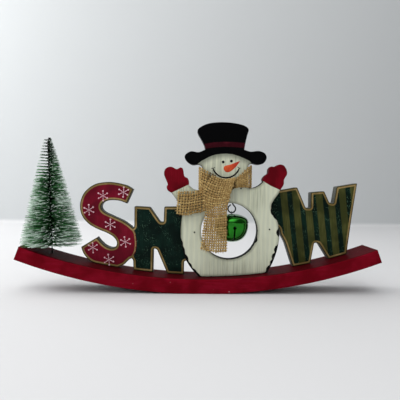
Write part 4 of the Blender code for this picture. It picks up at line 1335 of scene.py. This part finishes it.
def bristle_lines(rng):
    """Each bristle's height at the stem and its points, from the stem outwards."""
    heights = []
    for k in range(int((HIGHEST_ROW - LOWEST_ROW) / ROW_PITCH)):
        z = LOWEST_ROW + k * ROW_PITCH
        count = int(ROW_BRISTLES * (0.40 + 0.60 * tree_radius(z) / TREE_REACH))
        heights.append(z + ROW_PITCH * np.arange(count) / count)
    root_z = np.concatenate(heights)
    n = len(root_z)
    turn = -2 * np.pi * (root_z - LOWEST_ROW) / ROW_PITCH + rng.normal(0, 0.04, n)
    middle = np.clip((LOOSE_BELOW - root_z) / 22, 0, 1)
    middle = middle * np.clip((root_z - SNOWY_BELOW + 4) / 14, 0.15, 0.8)
    right = np.clip(np.cos(turn) * 2.5, 0, 0.9) * np.clip((root_z - SNOWY_BAND + 8) / 8, 0, 1)
    loose = np.maximum(middle, right)
    root_z = root_z + rng.normal(0, 1, n) * (0.22 + 0.55 * loose)
    climb = np.radians(3.2 + rng.normal(0, 1, n) * (1.0 + 2.0 * loose))
    reach = tree_radius(root_z) * np.clip(rng.normal(0.94, 0.06, n), 0.6, 1.0)
    droop = rng.uniform(-0.015, 0.035, n) * reach
    share = (root_z - TREE_AXIS_LOW[2]) / (TREE_AXIS_TIP[2] - TREE_AXIS_LOW[2])
    axis_x = TREE_AXIS_LOW[0] + (TREE_AXIS_TIP[0] - TREE_AXIS_LOW[0]) * share
    out = np.stack([np.cos(turn), np.sin(turn)], axis=1)
    swerve = rng.normal(0, 0.05, n)
    side = np.stack([-out[:, 1], out[:, 0]], axis=1)
    lines = np.empty((n, len(BRISTLE_STEPS), 3))
    for i, t in enumerate(BRISTLE_STEPS):
        r = STEM_R + (reach - STEM_R) * t
        lines[:, i, :2] = out * r[:, None] + side * (swerve * r * t)[:, None]
        lines[:, i, 2] = root_z + np.tan(climb) * r - droop * t ** 2 + TREE_LEAN * lines[:, i, 0]
        lines[:, i, 0] += axis_x
    over = (np.abs(lines[..., 1]) < ROCKER_HALF_DEPTH) & (lines[..., 0] > ROCKER_LEFT)
    floor = rocker_top_z(lines[..., 0]) + 0.35
    lines[..., 2] = np.where(over, np.maximum(lines[..., 2], floor), lines[..., 2])
    lines[..., 2] = np.minimum(lines[..., 2], TREE_AXIS_TIP[2] - 0.4)
    lines[..., 0] = np.maximum(lines[..., 0], TREE_LEFT + 0.3)
    return root_z, lines


def add_tree():
    rng = np.random.default_rng(SEED + 1)
    root_z, lines = bristle_lines(rng)
    n, steps = len(lines), BRISTLE_STEPS
    ahead = np.gradient(lines, axis=1)
    ahead /= np.linalg.norm(ahead, axis=2, keepdims=True)
    across = np.cross(ahead, (0, 0, 1.0))
    across /= np.linalg.norm(across, axis=2, keepdims=True)
    up = np.cross(across, ahead)
    low_rows = np.clip((SNOWY_BELOW - root_z) / 8, 0, 1)
    band = np.exp(-((root_z - SNOWY_BAND) / 5) ** 2)
    frosted = rng.uniform(0, 1, n) < 0.42 + 0.04 * low_rows + 0.10 * band
    length = np.clip(rng.normal(0.24, 0.12, n) + 0.36 * low_rows + 0.22 * band, 0.05, 0.8)
    frost = np.where(frosted, length, -0.4)
    base = rng.uniform(0.22, 0.30, n)
    snowed = np.clip((steps[None] - 1 + frost[:, None]) / 0.15, 0, 1)
    snow = rng.uniform(0.05, 0.22, n) * (1 + 1.2 * low_rows + 0.8 * band)
    thick = base[:, None] * (1 - 0.25 * steps[None]) + snowed * snow[:, None]
    thick[:, -1] *= 0.6
    rings = np.stack([lines + (across * math.cos(a) + up * math.sin(a)) * thick[:, :, None]
                      for a in np.radians([90, 210, 330])], axis=2)
    per = 3 * len(steps)                         # points of one bristle
    first = np.arange(n)[:, None] * per
    quads = (first[:, None] + np.array(ring_walls(len(steps), 3))).reshape(-1, 4).tolist()
    caps = (first + [2, 1, 0]).tolist() + (first + per - 3 + [0, 1, 2]).tolist()
    distance = np.linalg.norm((lines - lines[:, :1]), axis=2)
    attributes = {"along": np.repeat(np.tile(steps, n), 3), "frost": np.repeat(frost, per),
                  "tint": np.repeat(rng.uniform(0, 1, n), per),
                  "out": np.repeat(distance.reshape(-1), 3)}
    brush = make_piece("frosted_bristles", rings.reshape(-1, 3), quads + caps, bristle_look(),
                       slot="bristle", attributes=attributes, smooth=False)
    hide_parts("tree_bristles")


def add_stem():
    """Two wires twisted round each other, with the bristles caught between them."""
    parts = Parts()
    foot = np.array((TREE_AXIS_LOW[0] + 0.35, 0.0, STEM_LOW[2] + 0.2))
    tip = np.array((TREE_AXIS_TIP[0] + 0.2, 0.0, STEM_HIGH[2]))
    t = np.linspace(0, 1, 420)
    line = foot + (tip - foot) * t[:, None]
    for k in range(2):
        angle = 2 * np.pi * t * (tip[2] - foot[2]) / WIRE_PITCH + math.pi * k
        aside = np.column_stack([np.cos(angle), np.sin(angle), np.zeros(len(t))])
        parts.add(*tube(line + aside * WIRE_HALF, FRONTWARDS, WIRE_R, WIRE_R, 8))
    look = wire_look("black_wire_twist", srgb(22, 26, 24), 0.45)
    stem = parts.piece("twisted_wire_stem", look, slot="black_wire", heal=True)
    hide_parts("tree_wire_stem")


# ---- wire and fasteners that keep their CAD shape ----
def dress_cad_nodes():
    black = wire_look("black_wire_paint", srgb(7, 7, 8), 0.5, 0.1)
    zinc = wire_look("zinc_steel_look", srgb(118, 120, 124), 0.32)
    looks = {"screw_eye": black, "brad_nail": black, "base_screw": zinc, "bell_loop": zinc}
    for name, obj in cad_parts.items():
        for start, look in looks.items():
            if name.startswith(start):
                obj.data.materials.clear()
                obj.data.materials.append(look)


# ---- surroundings ----
WALL_Y, WALL_CURVE = 700.0, 12.0
STAGE_DEPTH, STAGE_HEIGHT, STAGE_HALF = 3000.0, 3000.0, 4000.0
WORLD_COLOUR, WORLD_LIGHT = (0.92, 0.96, 1.0, 1), 0.13


def add_stage():
    """A pale floor that turns up into a pale wall."""
    profile = [(-STAGE_DEPTH, 0.0), (0.0, 0.0), (WALL_Y - WALL_CURVE, 0.0)]
    for a in np.linspace(0, math.pi / 2, 13)[1:]:
        profile.append((WALL_Y - WALL_CURVE * (1 - math.sin(a)), WALL_CURVE * (1 - math.cos(a))))
    profile.append((WALL_Y, STAGE_HEIGHT))
    xs = np.linspace(-STAGE_HALF, STAGE_HALF, 9)
    verts = [(x, y, z) for x in xs for y, z in profile]
    n = len(profile)
    faces = [[a, a + n, a + n + 1, a + 1]
             for i in range(len(xs) - 1) for a in range(i * n, (i + 1) * n - 1)]
    look = Look("studio_card", 0.85, Specular_IOR_Level=0.15)
    up = look.ramp(look.axis("Z"), 0.0, 12.0)
    tone = look.mix(up, srgb(212, 212, 213), srgb(200, 203, 204))
    floor = make_piece("studio_floor", verts, faces, look.done(tone), body=None, heal=True)


# name, place, target, size, power
LIGHTS = (("key", (-0.45, -0.8, 1.1), (0, 0, 0.05), (2.4, 1.9), 14.4),
          ("top", (-0.25, 0.2, 1.4), (0, 0.05, 0), (2.8, 2.0), 22.8),
          ("wall_wash", (-1.1, 0.15, 0.75), (-0.35, 0.7, 0.0), (0.6, 0.6), 7.6))


def area_light(name, place, target, size, power):
    data = bpy.data.lights.new(name, "AREA")
    data.shape, data.energy = "RECTANGLE", power
    data.size, data.size_y = size
    light = new_object(name, data)
    light.location = place
    light.rotation_euler = (Vector(target) - Vector(place)).to_track_quat("-Z", "Y").to_euler()


def add_lights():
    world = bpy.data.worlds.new("studio")
    world.use_nodes = True
    colour, strength = world.node_tree.nodes["Background"].inputs[:2]
    colour.default_value, strength.default_value = WORLD_COLOUR, WORLD_LIGHT
    bpy.context.scene.world = world
    for light in LIGHTS:
        area_light(*light)


# ---- building ----
add_camera()
add_stage()
add_lights()
wooden_board("painted_snowman", "snowman_board", snowman_look(), "snowman_paint", snowman_paint,
             wear=SNOWMAN_WEAR)
wooden_board("painted_letters_sn", "letter_board_sn", letter_look("letter_sn_paint", sn_fill),
             "letter_red_paint", sn_paint)
wooden_board("painted_letter_w", "letter_board_w", letter_look("letter_w_paint", w_fill),
             "letter_green_paint", w_paint)
bore_rocker(wooden_board("painted_rocker", "rocker_base", rocker_look(), "rocker_paint", pitch=1.6,
                         ease=0.8))
add_snowflakes()
snowman_face()
carrot_nose()
add_scarf()
add_bell()
add_pellet()
add_stem()
add_tree()
dress_cad_nodes()
bpy.context.scene.view_settings.view_transform = "Standard"
